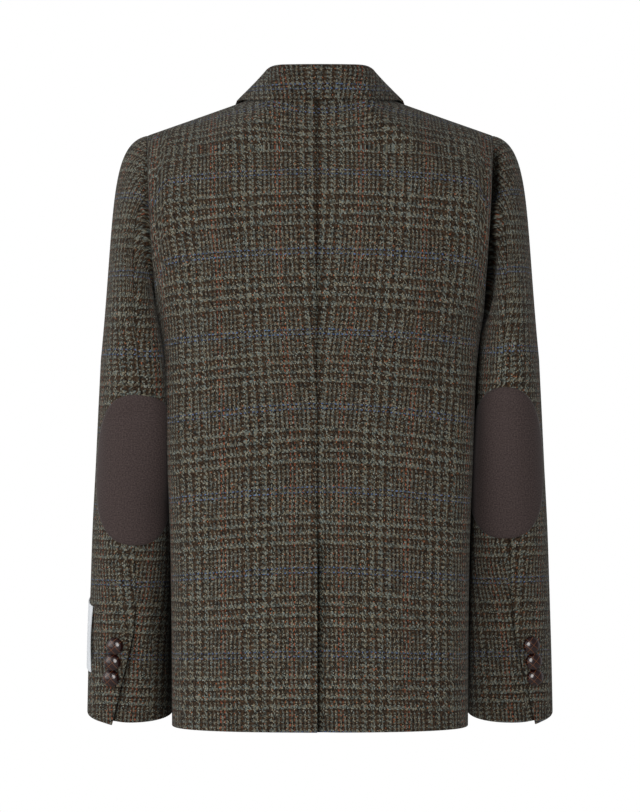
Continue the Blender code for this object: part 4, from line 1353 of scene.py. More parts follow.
    def back(self, side: Side) -> None:
        """Builds a back; the right one goes on beneath the left's vent edge as an underlap."""
        across = spaced(self.width, self.neck_across)
        vent_down = (self.neck_height - self.vent_top) / (self.neck_height - self.hem_height)
        down = spaced(self.length, self.underarm_down, vent_down)
        falls = self.falls(across, down, SEWN_TO_HEM)
        roll = self.back_roll(across, down, side)
        # painted shade along the centre seam, in the vent and at the sides
        painted_shade = self.back_painted_shade(across, down, vent_down, side)
        present = None
        vent_row = int(np.argmin(np.abs(down - vent_down)))
        under = ramp(down, down[vent_row - self.vent_rows], down[vent_row])[:, None]
        seam_x = self.back_seam_x * side.value - SEAM_LAP / 2
        places = self.back_places(seam_x, across, down)
        if side is Side.LEFT:
            dips = -under * bell(across * self.width, *self.vent_lift)
        else:
            height = places[:, :1, 1]
            reaches = self.vent_underlap * np.linspace(1, 0, self.underlap_steps, endpoint=False)
            reaches = np.append(reaches[reaches > self.underlap_start], self.underlap_start)
            extra = len(reaches)
            lap = BODY.angle_at(seam_x - reaches, height, 1)
            lap = np.stack([lap, height + 0 * lap], axis=-1)
            places = np.concatenate([lap, places], axis=1)
            dips = with_lap(under * bell(across * self.width, *self.vent_sink), extra)
            falls, roll = with_lap(falls, extra, 0.0), with_lap(roll, extra, 0.0)
            falls[vent_row:, extra] = 0
            painted_shade = with_lap(painted_shade, extra)
            present = np.ones((len(down) - 1, places.shape[1] - 1), bool)
            present[:vent_row, :extra] = False
        self.panel("back", places, dips, falls, side, present, roll, painted_shade)

    def front(self, side: Side) -> None:
        """Builds a front; the right one drops beneath the left where they overlap."""
        across = spaced(self.front_width, self.quarter_across)
        down = spaced(self.length, self.underarm_down, self.quarter_down)
        places = self.front_places(0.0 if side is Side.LEFT else self.right_short, across, down)
        height = places[..., 1]
        dips = np.zeros(height.shape)
        if side is Side.RIGHT:
            x = BODY.point(places[..., 0], height, -1)[..., 0]
            dips = LAP_INSET * ramp(x, *self.under_x) * ramp(height, *self.under_height)
        falls = self.falls(across, down, OPEN_TO_HEM)
        self.panel("front", places, dips, falls, side, None, 0 * dips, 0 * dips)

    def panel(
        self,
        kind: str,
        places: Array,
        dips: Array,
        falls: Array,
        side: Side,
        present: Array | None,
        roll: Array,
        painted_shade: Array,
    ) -> None:
        """Builds one panel between its outer and inner faces, and dresses it.

        Args:
            kind: "back" or "front".
            places: its (angle, height) grid.
            dips: how far the whole wall drops below the form.
            falls: how far the outer face falls at edges and seams.
            side: the wearer's side.
            present: which cells are there.
            roll: how far the places move backwards.
            painted_shade: the painted shade at each place, 0 to 1.
        """
        node, face = f"{kind}_{side.word}", 1 if kind == "back" else -1
        angle, height = places[..., 0], places[..., 1]
        dips = dips + self.sink(angle, height, face, side)
        backwards = np.stack([0 * roll, roll, 0 * roll], axis=-1)
        outer = BODY.point(angle, height, face, dips + falls) + backwards
        inner = BODY.point(angle, height, face, dips + WALL) + backwards
        weave = self.weave(places, face, side)
        made = build_shell(f"{node}_cloth", outer, inner, weave, side, present, painted_shade=painted_shade)
        dress(made, node, TWEED, self.cuts[node])

    def lay_on_front(
        self, node: str, places: Array, lift: Value, fall: Array, side: Side, cut: Cut
    ) -> None:
        """Builds a piece that lies on a front and follows its folds, and dresses it.

        Args:
            node: the node that it stands for.
            places: its (angle, height) grid.
            lift: how much further than the gap of a lap it stands off.
            fall: how far its outer face falls at its edges.
            side: the wearer's side.
            cut: its flat size.
        """
        angle, height = places[..., 0], places[..., 1]
        inset = self.sink(angle, height, -1, side) - LAP_GAP - lift
        outer = BODY.point(angle, height, -1, inset - WALL + fall)
        inner = BODY.point(angle, height, -1, inset)
        weave = self.weave(places, -1, side)
        made = build_shell(f"{node}_cloth", outer, inner, weave, side, painted_shade=0 * fall)
        dress(made, node, TWEED, cut)

    def build(self) -> None:
        """Builds both backs and both fronts."""
        for side in Side:
            self.back(side)
            self.front(side)


@dataclass(frozen=True)
class Lapels:
    """The two lapels, lying on the fronts from the roll line out."""

    top_height: float = -0.036
    tip: Pair = (0.126, -0.077)
    ends: dict[Side, float] = per_side(-0.272, -0.205)  # heights of their lower ends
    length: float = 0.23
    width: float = 0.070
    belly: float = 0.010
    roll: float = 0.003
    foot: Pair = (0.012, -0.004)
    cuts: dict[Side, Cut] = per_side(
        Cut(0.085, 0.245, 0.0134, "folded", ("front_left",)),
        Cut(0.085, 0.175, 0.0095, "folded", ("front_right",)),
    )

    def build(self, body: Body) -> None:
        """Builds both lapels: straight lines from the roll line to a bellied outer edge."""
        across, down = spaced(self.width), spaced(self.length)
        first, top = across * self.width, down * self.length
        fall = edge_falls((first, self.width - first, top, self.length - top), ALL_FREE)
        across, down = across[None, :], down[:, None]
        for side in Side:
            end_height = self.ends[side]
            roll_height = self.top_height + (end_height - self.top_height) * down
            roll_x = body.front_edge_x(roll_height)
            end_x = body.front_edge_x(np.array(end_height)) + self.foot[0]
            edge_x = self.tip[0] + (end_x - self.tip[0]) * down
            edge_x = edge_x + self.belly * np.sin(math.pi * down)
            edge_height = self.tip[1] + (end_height + self.foot[1] - self.tip[1]) * down
            x = roll_x + (edge_x - roll_x) * across
            height = roll_height + (edge_height - roll_height) * across
            places = np.stack([BODY.angle_at(x, height, -1), height], axis=-1)
            lift = self.roll * (1 - across) ** 2
            node, cut = f"lapel_{side.word}", self.cuts[side]
            body.lay_on_front(node, places, lift, fall, side, cut)


@dataclass(frozen=True)
class Flaps:
    """The slanted pocket flaps, with rounded lower corners."""

    front_angle: float = math.radians(24)
    side_angle: float = math.radians(70)
    height: float = -0.452
    slant: float = 0.040
    width: float = 0.14
    depth: float = 0.054
    corner: float = 0.010

    def build(self, body: Body) -> None:
        """Builds both flaps on the fronts; the lower edge rises by corner x |2p - 1|^6."""
        part, down = spaced(self.width), spaced(self.depth)
        first, top = part * self.width, down * self.depth
        fall = edge_falls((first, self.width - first, top, self.depth - top), ALL_FREE)
        part, down = np.meshgrid(part, down)
        angle = self.front_angle + (self.side_angle - self.front_angle) * part
        rounded = self.corner * np.abs(2 * part - 1) ** 6
        height = self.height - self.slant * part - (self.depth - rounded) * down
        places = np.stack([angle, height], axis=-1)
        for side in Side:
            node = f"pocket_flap_{side.word}"
            cut = Cut(0.120, self.depth, 0.0062, "hung", (f"front_{side.word}",))
            body.lay_on_front(node, places, 0.0, fall, side, cut)


@dataclass(frozen=True)
class Collar:
    """The turned-down collar: stand, fold and fall, from the centre back to its front ends."""

    stand: float = 0.026
    fall: float = 0.036
    half_length: float = 0.220
    neck_at: float = 4 / 7  # part of it from the centre back to the side of the neck
    fold_radius: float = 0.0024
    fold_steps: int = 12
    fall_belly: float = 0.0015
    fall_gap: float = 0.0016
    seam_gap: float = 0.0010
    names: str = "face seam_x seam_height fold_x fold_y fold_z edge_x edge_height"
    rows: tuple[tuple[float, ...], ...] = (
        (1, 0.0000, 0.0030, 0.0000, 0.0600, 0.0315, 0.000, -0.0065),
        (1, 0.0300, 0.0030, 0.0270, 0.0575, 0.0315, 0.034, -0.0065),
        (1, 0.0530, 0.0032, 0.0485, 0.0450, 0.0318, 0.061, -0.0065),
        (1, 0.0680, 0.0037, 0.0570, 0.0220, 0.0285, 0.079, -0.0058),
        (0, 0.0730, 0.0040, 0.0600, -0.0040, 0.0235, 0.0905, -0.0040),
        (-1, 0.0700, -0.0030, 0.0615, -0.0360, 0.0120, 0.098, -0.0200),
        (-1, 0.0665, -0.0130, 0.0620, -0.0640, -0.0010, 0.106, -0.0400),
        (-1, 0.0610, -0.0290, 0.0575, -0.0830, -0.0190, 0.108, -0.0600),
    )
    pair_above: float = 0.0123  # of the blue pair above the fall's edge
    drawn_in: float = 0.13  # how much closer the warp runs at the fold than at the edge
    drawn_over: float = 0.034
    rim: Pair = (0.0014, 0.8)  # of the wall at an edge: reach, and what it loses
    shade: float = 0.10  # painted shade laid evenly over the whole collar, to darken it
    cut: Cut = Cut(0.46, 0.075, 0.029, "folded", ("back_left", "back_right"))

    def curves(self, station: Array, seam_drop: float) -> tuple[Array, Array, Array]:
        """Seam, fold and edge of the collar, in space, at stations along the table's rows.

        Args:
            station: places along the rows, from 0 at the centre back.
            seam_drop: how far a seam lies below the shoulder line.

        Returns:
            A point of each at every station.
        """
        table = np.array(self.rows, float)
        names = self.names.split()
        knots = range(len(table))
        column = {name: smooth(knots, table[:, at], station) for at, name in enumerate(names)}
        side_neck = list(table[:, 0]).index(0)
        face = np.where(station <= side_neck, 1, -1)
        inward = ease(station / side_neck)
        seam_x, edge_x = column["seam_x"], column["edge_x"]
        seam_height = np.minimum(column["seam_height"], BODY.ridge(seam_x) - seam_drop)
        seam = BODY.point(BODY.angle_at(seam_x, seam_height, face), seam_height, face, WALL / 2)
        into_neck = np.stack([-inward, np.zeros_like(inward), 1 - inward], axis=-1)
        seam = seam + (self.seam_gap + WALL / 2 * inward)[:, None] * unit(into_neck)
        fold = np.stack([column["fold_x"], column["fold_y"], column["fold_z"]], axis=-1)
        edge_height = np.minimum(column["edge_height"], BODY.ridge(edge_x) - seam_drop)
        edge_angle = BODY.angle_at(edge_x, edge_height, face)
        edge = BODY.point(edge_angle, edge_height, face, -self.fall_gap - WALL / 2)
        return seam, fold, edge

    def section(self, seam: Array, fold: Array, edge: Array) -> Array:
        """Middle line of the wall at each station: up the stand, round the fold, down the fall.

        The fold is an arc of a circle, and the fall bulges by 4 belly p (1 - p).

        Args:
            seam: the seam's points.
            fold: the fold's.
            edge: the fall's edge's.

        Returns:
            Grid of points, a row to a station.
        """
        up = unit(fold - seam)
        out = unit((edge - fold) - np.sum((edge - fold) * up, axis=-1, keepdims=True) * up)
        centre = fold - self.fold_radius * up
        away = edge - centre
        lean = np.arctan2(np.sum(away * out, axis=-1), -np.sum(away * up, axis=-1))[:, None]
        top = centre - self.fold_radius * out
        line = [seam + (top - seam) * part for part in spaced(self.stand)[:-1]]
        for part in np.linspace(0, 1, self.fold_steps):
            turn = math.pi + (lean - math.pi) * part
            line.append(centre + self.fold_radius * (np.cos(turn) * out + np.sin(turn) * up))
        start = line[-1]
        belly = np.cos(lean) * out + np.sin(lean) * up
        for part in spaced(self.fall)[1:]:
            bulge = 4 * part * (1 - part) * self.fall_belly * belly
            line.append(start + (edge - start) * part + bulge)
        return np.stack(line, axis=1)

    def build(self, body: Body) -> None:
        """Builds the collar as one piece from end to end, its wall thinned at every edge."""
        station = (len(self.rows) - 1) * spaced(self.half_length, self.neck_at)
        left = self.section(*self.curves(station, body.seam_drop))[len(EDGE_STEPS) - 1 :]
        centre = self.section(*self.curves(np.zeros(1), body.seam_drop))
        line = np.concatenate([left[::-1] * (-1, 1, 1), centre, left])
        normal = unit(np.cross(np.gradient(line, axis=1), np.gradient(line, axis=0)))
        run = np.linalg.norm(np.diff(line, axis=0), axis=-1)
        girth = np.concatenate([np.zeros((1, line.shape[1])), np.cumsum(run, axis=0)])
        girth = girth - girth[len(left)]
        fall = np.linalg.norm(np.diff(line, axis=1), axis=-1)
        drop = np.concatenate([np.zeros((line.shape[0], 1)), np.cumsum(fall, axis=1)], axis=1)
        drop = drop - drop[:, -1:]
        to_end = girth[-1:] - np.abs(girth)
        thin = np.maximum(rounding(to_end, *self.rim), rounding(-drop, *self.rim))
        half = (WALL / 2 * (1 - thin))[..., None]
        close = 1 - self.drawn_in * np.clip(-drop / self.drawn_over, 0, 1)
        weave = np.stack([girth * close + CHECK[0] / 2, drop + self.pair_above], axis=-1)
        outer, inner = line + normal * half, line - normal * half
        # painted shade laid evenly over the collar
        made = build_shell("collar_cloth", outer, inner, weave, painted_shade=self.shade + 0 * thin)
        dress(made, "collar", TWEED, self.cut)


# The cuff label's rear edge, in degrees round the sleeve.
LABEL_EDGE = Rows("turn", (-0.553, 29.5), (-0.590, 25.0), (-0.628, 28.5))


@dataclass(frozen=True)
class Sleeves:
    """The two-piece sleeves, each a top sleeve and an under sleeve with a vent at the cuff."""

    vent_top: float = -0.562
    underlap: float = math.radians(20)
    underlap_start: float = 0.06  # part of it where it joins the rest of the under sleeve
    underlap_steps: int = 9
    vent_rows: int = 6  # above and below its top, over which the vent opens
    shade_rows: tuple[int, int] = (2, 8)  # and over which its gap's painted shade comes in
    vent_lift: Pair = (0.0016, 0.012)  # of the upper edge, and how far it reaches
    vent_sink: dict[Side, Pair] = per_side((0.0030, 0.010), (0.0020, 0.010))
    tip_drop: float = 0.0030  # of the vent's lower corner
    tip_from: float = 1.8  # place along the sleeve where the drop starts
    seam_lap: float = 0.0030  # half the lap of a sleeve seam, as a turn
    right_cuff_turn: float = 11.0
    cap_length: float = 0.22  # lengths that the rows are spaced by
    cap_end: float = 0.985  # place along, past which the cap has no closer rows
    arm_length: float = 0.40
    vent_length: float = 0.12
    top_width: float = 0.25
    under_width: float = 0.13
    cuts: dict[str, Cut] = by_node(
        sleeve_top=Cut(0.215, 0.655, 0.115),
        sleeve_under=Cut(0.135, 0.585, 0.065),
    )
    trough: dict[Side, tuple[float, float, float]] = per_side(
        (0.0022, 0.0015, 0.012),
        (0.0050, 0.0080, 0.040),
    )  # behind the armhole's seam: depth, and where it starts to rise and is level again
    trough_turns: tuple[float, ...] = (35.0, 60.0, 185.0, 215.0)  # degrees of the trough
    plunge: float = 0.0012
    # painted shade in the vent's gap beside the top sleeve's edge: depth, 0 to 1, and reach
    vent_shade: dict[Side, Pair] = per_side((0.92, 0.0024), (0.40, 0.0020))
    beside_turns: tuple[float, ...] = (20.0, 45.0, 200.0, 230.0)  # degrees round the sleeve over which painted shade lies beside the body
    beside_body: dict[Side, Rows] = per_side(
        Rows(
            "x reach depth",
            (-0.050, 0.1885, 0.0035, 0.40),
            (-0.110, 0.1860, 0.0110, 0.52),
            (-0.160, 0.1840, 0.0120, 0.55),
            (-0.220, 0.1812, 0.0050, 0.60),
            (-0.300, 0.1700, 0.0060, 0.60),
            (-0.400, 0.1640, 0.0120, 0.65),
            (-0.500, 0.1620, 0.0240, 0.80),
            (-0.560, 0.1600, 0.0360, 0.95),
            (-0.700, 0.1600, 0.0400, 0.97),
        ),
        Rows(
            "x reach depth",
            (-0.050, 0.1940, 0.0045, 0.50),
            (-0.075, 0.1935, 0.0070, 0.90),
            (-0.100, 0.1935, 0.0070, 0.97),
            (-0.131, 0.1890, 0.0050, 0.97),
            (-0.174, 0.1878, 0.0045, 0.97),
            (-0.215, 0.1825, 0.0045, 0.97),
            (-0.255, 0.1780, 0.0045, 0.97),
            (-0.297, 0.1746, 0.0045, 0.97),
            (-0.338, 0.1719, 0.0045, 0.97),
            (-0.416, 0.1681, 0.0050, 0.97),
            (-0.469, 0.1665, 0.0075, 0.97),
            (-0.566, 0.1645, 0.0085, 0.98),
            (-0.700, 0.1640, 0.0085, 0.98),
        ),
    )  # where the body's edge lies against the sleeve, and the reach and depth of the painted shade that it leaves there
    folds: dict[Side, tuple[Fold, ...]] = per_side(
        (
            Fold((0.100, 0.100), (0.108, -0.160), 0.020, -0.0110, 0.0, 0.0),
            Fold((0.141, 0.070), (0.141, -0.060), 0.026, -0.0035, 0.0, 0.0),
            Fold((0.080, 0.060), (0.066, -0.040), 0.008, 0.0012, 0.004),
            Fold((0.080, -0.010), (0.020, -0.045), 0.009, 0.0012, -0.006),
            Fold((0.090, -0.060), (0.030, -0.072), 0.007, 0.0009),
            Fold((0.095, -0.270), (0.045, -0.285), 0.007, 0.0009, 0.004),
            Fold((0.085, -0.300), (0.110, -0.345), 0.006, 0.0007),
            Fold((-0.110, -0.100), (-0.040, -0.130), 0.010, 0.0020, 0.008),
            Fold((-0.115, -0.150), (-0.045, -0.170), 0.010, 0.0022, 0.008),
            Fold((-0.105, -0.205), (-0.050, -0.215), 0.009, 0.0016, 0.006),
            Fold((-0.070, 0.090), (-0.090, -0.030), 0.012, 0.0016),
        ),
        (
            Fold((0.141, 0.070), (0.141, -0.060), 0.026, -0.0040, 0.0, 0.0),
            Fold((0.105, 0.080), (0.060, -0.010), 0.010, 0.0014, 0.006),
            Fold((0.105, -0.020), (0.030, -0.035), 0.009, 0.0014, 0.004),
            Fold((0.100, -0.058), (0.035, -0.066), 0.007, 0.0010),
            Fold((0.090, -0.262), (0.050, -0.280), 0.007, 0.0009, -0.004),
            Fold((0.080, -0.290), (0.105, -0.340), 0.006, 0.0007),
            Fold((-0.110, -0.095), (-0.045, -0.120), 0.010, 0.0018, 0.008),
            Fold((-0.112, -0.145), (-0.040, -0.172), 0.011, 0.0022, 0.010),
            Fold((-0.108, -0.200), (-0.048, -0.218), 0.009, 0.0018, 0.006),
            Fold((-0.075, 0.080), (-0.085, -0.040), 0.012, 0.0016),
        ),
    )  # across is the turn x fold_radius, up is the height above the bicep along the cloth
    beside_label: tuple[float, float, float] = (0.95, 2.0, 2.7)  # painted shadow along the label's rear edge: depth, and degrees off and wide
    label_height: float = -0.5930  # of the label's middle
    label_ends: Pair = (0.032, 0.020)  # how far off that its painted shadow ends, and is full
    fold_radius: float = 0.045
    lines: dict[str, Rows] = by_node(
        sleeve_top_left=Rows(
            "line",
            (-0.100, 0.0300),
            (-0.167, 0.0314),
            (-0.474, 0.0448),
            (-0.574, 0.0497),
            (-0.700, 0.0516),
        ),
        sleeve_top_right=Rows(
            "line",
            (-0.100, 0.0280),
            (-0.167, 0.0300),
            (-0.530, 0.0415),
            (-0.590, 0.0430),
            (-0.700, 0.0400),
        ),
        sleeve_under_left=Rows(
            "line",
            (-0.100, -0.0600),
            (-0.540, -0.0608),
            (-0.575, -0.0660),
            (-0.700, -0.0630),
        ),
        sleeve_under_right=Rows(
            "line",
            (-0.100, -0.0580),
            (-0.515, -0.0590),
            (-0.560, -0.0684),
            (-0.700, -0.0709),
        ),
    )  # girth from each piece's middle to its rust pair
    pair_at: dict[str, float] = by_node(
        sleeve_top_left=-0.0050,
        sleeve_top_right=-0.0090,
        sleeve_under_left=-0.0030,
        sleeve_under_right=-0.0070,
    )  # how far below the bicep a blue pair lies

    def sink(self, turn: Array, drop: Array, off_armhole: Array, side: Side) -> Array:
        """How far the cloth dips: the armhole's trough, depth (1 - exp(-d / w)), and the folds.

        Args:
            turn: round the ring.
            drop: down the cloth from the bicep.
            off_armhole: down the cloth from the armhole.
            side: the wearer's side.

        Returns:
            Metres below the form.
        """
        depth, rise, level = self.trough[side]
        behind = between(np.degrees(turn), *self.trough_turns)
        dip = depth * (1 - np.exp(-off_armhole / self.plunge)) * behind
        dip = dip * (1 - ramp(off_armhole, rise, level))
        return dip - relief_of(self.folds[side], turn * self.fold_radius, -drop)

    def painted_shade(self, turn: Array, along: Array, side: Side) -> Array:
        """Painted shade on a sleeve beside the body's edge: depth x ease(1 - (x - edge) / reach).

        The left one has a painted shadow along the label's rear edge, which stands off the cloth.

        Args:
            turn: round the ring.
            along: places along the sleeve.
            side: the wearer's side.

        Returns:
            Painted shade, 0 to 1.
        """
        degrees = np.degrees(turn)
        point = SLEEVE.surface(along, turn)
        height = point[..., 2]
        beside = self.beside_body[side]
        edge, reach, depth = (beside.at(name, height) for name in ("x", "reach", "depth"))
        made = depth * between(degrees, *self.beside_turns)
        made = made * ease(1 - (point[..., 0] - edge) / reach)
        if side is Side.LEFT:
            depth, off, wide = self.beside_label
            off_edge = degrees - LABEL_EDGE.at("turn", height) - off
            at_label = ramp(np.abs(height - self.label_height), *self.label_ends)
            made = np.maximum(made, at_label * bell(off_edge, depth, wide))
        return made

    def piece(
        self,
        kind: str,
        side: Side,
        places: Array,
        turn: Array,
        middle: float,
        falls: Array,
        dips: Array,
        seams: Array,
        present: Array | None = None,
    ) -> None:
        """Builds one of a sleeve's pieces between its outer and inner faces, and dresses it.

        Args:
            kind: the node's name without its side.
            side: the wearer's side.
            places: the grid's places along the sleeve.
            turn: the grid's turns.
            middle: turn from which the girth is measured.
            falls: how far the outer face falls at edges and seams.
            dips: how far the whole wall drops below the form.
            seams: painted shade along its seams and in the vent's gap.
            present: which cells are there.
        """
        girth, drop = SLEEVE.lengths(places, turn, middle)
        # painted shade: that of the seams and vent, and that beside the body
        painted_shade = np.maximum(seams, self.painted_shade(turn, places, side))
        dips = dips + self.sink(turn, drop, drop - drop[:1], side)
        outer = SLEEVE.point(places, turn, dips + falls)
        inner = SLEEVE.point(places, turn, dips + WALL)
        node = f"{kind}_{side.word}"
        line = self.lines[node].at("line", SLEEVE.surface(places, turn)[..., 2])
        weave = np.stack([(girth - line) * side.value, drop - self.pair_at[node]], axis=-1)
        made = build_shell(f"{node}_cloth", outer, inner, weave, side, present, painted_shade=painted_shade)
        rests_on = (f"back_{side.word}", f"front_{side.word}")
        dress(made, node, TWEED, replace(self.cuts[kind], rests_on=rests_on))

    def seam_turns(self, along: Array, side: Side) -> tuple[Array, Array]:
        """Turns of the hind and the fore seam.

        Args:
            along: places along the sleeve.
            side: the wearer's side.

        Returns:
            Both turns, in radians.
        """
        first = -SLEEVE.seams.knots[0]
        cap = first + (SLEEVE.bicep_height - first) * along
        height = np.where(along < 1, cap, SLEEVE.height_at(along))
        hind = SLEEVE.seams.at("hind", height)
        if side is Side.RIGHT:
            hind = hind - self.right_cuff_turn * ease(along - 1)
        return np.radians(hind), np.radians(SLEEVE.seams.at("fore", height))

    def rows(self) -> tuple[Array, int]:
        """Places down the sleeve, and the row where the cuff's vent starts."""
        vent = float(SLEEVE.along_at(self.vent_top))
        cap = spaced(self.cap_length)
        cap = cap[cap < self.cap_end]
        above = np.linspace(1, vent, round((vent - 1) * self.arm_length / CLOTH_STEP))
        low = vent + (2 - vent) * spaced(self.vent_length)[len(EDGE_STEPS) - 1 :]
        return np.concatenate([cap, above, low]), len(cap) + len(above) - 1

    def falls(self, off: Array, along: Array, width: float) -> Array:
        """How far a piece's outer face falls: grooves at the seams and armhole, a rounded hem."""
        down = (along * self.cap_length, (2 - along) * self.arm_length)
        return edge_falls((off, width - off, *down), SEWN_TO_HEM)

    def build(self, side: Side) -> None:
        """Builds a sleeve's two pieces, the top one lapping over the under one in the vent."""
        along, vent_row = self.rows()
        rows = along[:, None]
        hind, fore = (edge[:, None] for edge in self.seam_turns(along, side))
        under = ramp(rows, along[vent_row - self.vent_rows], along[vent_row + self.vent_rows])
        above, below = self.shade_rows
        in_vent = ramp(rows, along[vent_row - above], along[vent_row + below])

        part = spaced(self.top_width)
        off = (1 - part) * self.top_width
        start, end = fore - self.seam_lap, hind + self.seam_lap
        turn = start + (end - start) * part[None, :]
        drop = self.tip_drop / (SLEEVE.bicep_height - SLEEVE.cuff_height)
        places = rows + drop * ramp(rows, self.tip_from, 2.0) * part**4
        fall = self.falls(off, along, self.top_width)
        dip = -under * bell(off, *self.vent_lift)
        # painted shade along the top sleeve's seams
        seams = bell(off[None, :], *SEAM_SHADE) * (1 - in_vent)
        self.piece("sleeve_top", side, places, turn, 0.0, fall, dip, seams)

        part = spaced(self.under_width)
        off = part * self.under_width
        start, end = hind - self.seam_lap, fore + 2 * math.pi + self.seam_lap
        lap = hind - self.underlap * np.linspace(1, self.underlap_start, self.underlap_steps)
        extra = lap.shape[1]
        turn = np.concatenate([lap, start + (end - start) * part[None, :]], axis=1)
        fall = with_lap(self.falls(off, along, self.under_width), extra, 0.0)
        dip = with_lap(under * bell(off, *self.vent_sink[side]), extra)
        present = np.ones((len(along) - 1, turn.shape[1] - 1), bool)
        present[:vent_row, :extra] = False
        off = np.concatenate([np.zeros(extra), off])
        # painted shade in the vent's gap
        gap = bell(off, *self.vent_shade[side]) * in_vent
        seams = np.maximum(bell(off[None, :], *SEAM_SHADE), gap)
        places = rows + 0 * turn
        self.piece("sleeve_under", side, places, turn, math.pi, fall, dip, seams, present)


@dataclass(frozen=True)
class ElbowPatches:
    """Oval suede patches laid round the elbows."""

    turn: float = 99.0
    half_turn: float = 72.0
    height: float = -0.401
    right_rise: float = 0.0075
    half_height: float = 0.079
    square: float = 2.2
    thickness: float = 0.0013
    gap: float = 0.0010
    rim: Pair = (0.0016, 0.0010)  # reach and depth of its rounded edge
    sewn: Pair = (0.8, 0.93)  # part of the gap that its edge closes, and from where
    count: int = 75

    def build(self, sleeves: Sleeves, side: Side) -> None:
        """Builds a patch: a round grid whose rim is the superellipse |c|^n + |s|^n = 1.

        Args:
            sleeves: whose folds it follows.
            side: the wearer's side.
        """
        reach, bearing = disc_grid(self.count)
        power = np.abs(np.cos(bearing)) ** self.square + np.abs(np.sin(bearing)) ** self.square
        rim = reach * power ** (-1 / self.square)
        turn = np.radians(self.turn + self.half_turn * rim * np.cos(bearing))
        centre = self.height + (self.right_rise if side is Side.RIGHT else 0)
        along = SLEEVE.along_at(centre - self.half_height * rim * np.sin(bearing))
        fall = rounding((1 - reach) * self.half_height, *self.rim)
        weave = np.stack(SLEEVE.lengths(along, turn, math.pi / 2), axis=-1)
        closed, start = self.sewn
        settle = self.gap * closed * ramp(reach, start, 1.0)
        settle = settle + sleeves.sink(turn, weave[..., 1], np.ones(turn.shape), side)
        outer = SLEEVE.point(along, turn, fall + settle - self.gap - self.thickness)
        inner = SLEEVE.point(along, turn, settle - self.gap)
        node = f"elbow_patch_{side.word}"
        # painted shade beside the body's edge, as on the sleeve beneath
        painted_shade = sleeves.painted_shade(turn, along, side)
        made = build_shell(f"{node}_suede", outer, inner, weave, side, painted_shade=painted_shade)
        rests_on = (f"sleeve_top_{side.word}", f"sleeve_under_{side.word}")
        dress(made, node, SUEDE, Cut(0.125, 0.158, 0.0168, "laid", rests_on))


@dataclass(frozen=True)
class CuffLabel:
    """A bare woven label on the outside of the left cuff, held at its ends and bulging between."""

    fore_turn: float = -18.0
    heights: Pair = (-0.553, -0.628)
    width: float = 0.04
    step: float = 0.0015
    thickness: float = 0.0010
    bulge: float = 0.0003

    def build(self) -> None:
        """Builds the label; its middle stands off by bulge x sin(pi d)^0.7."""
        top, low = self.heights
        across, down = spaced(self.width, step=self.step), spaced(top - low, step=self.step)
        part, down = np.meshgrid(across, down)
        height = top + (low - top) * down
        rear = LABEL_EDGE.at("turn", height)
        turn = np.radians(self.fore_turn + (rear - self.fore_turn) * part)
        lift = LAP_GAP + self.bulge * np.sin(math.pi * down) ** 0.7
        along = SLEEVE.along_at(height)
        outer = SLEEVE.point(along, turn, -lift - self.thickness)
        inner = SLEEVE.point(along, turn, -lift)
        weave = np.stack(SLEEVE.lengths(along, turn, 0.0), axis=-1)
        made = build_shell("cuff_label_woven", outer, inner, weave)
        cut = Cut(0.042, 0.077, 0.0032, "hung", ("sleeve_top_left",))
        dress(made, "cuff_label", SATIN, cut)


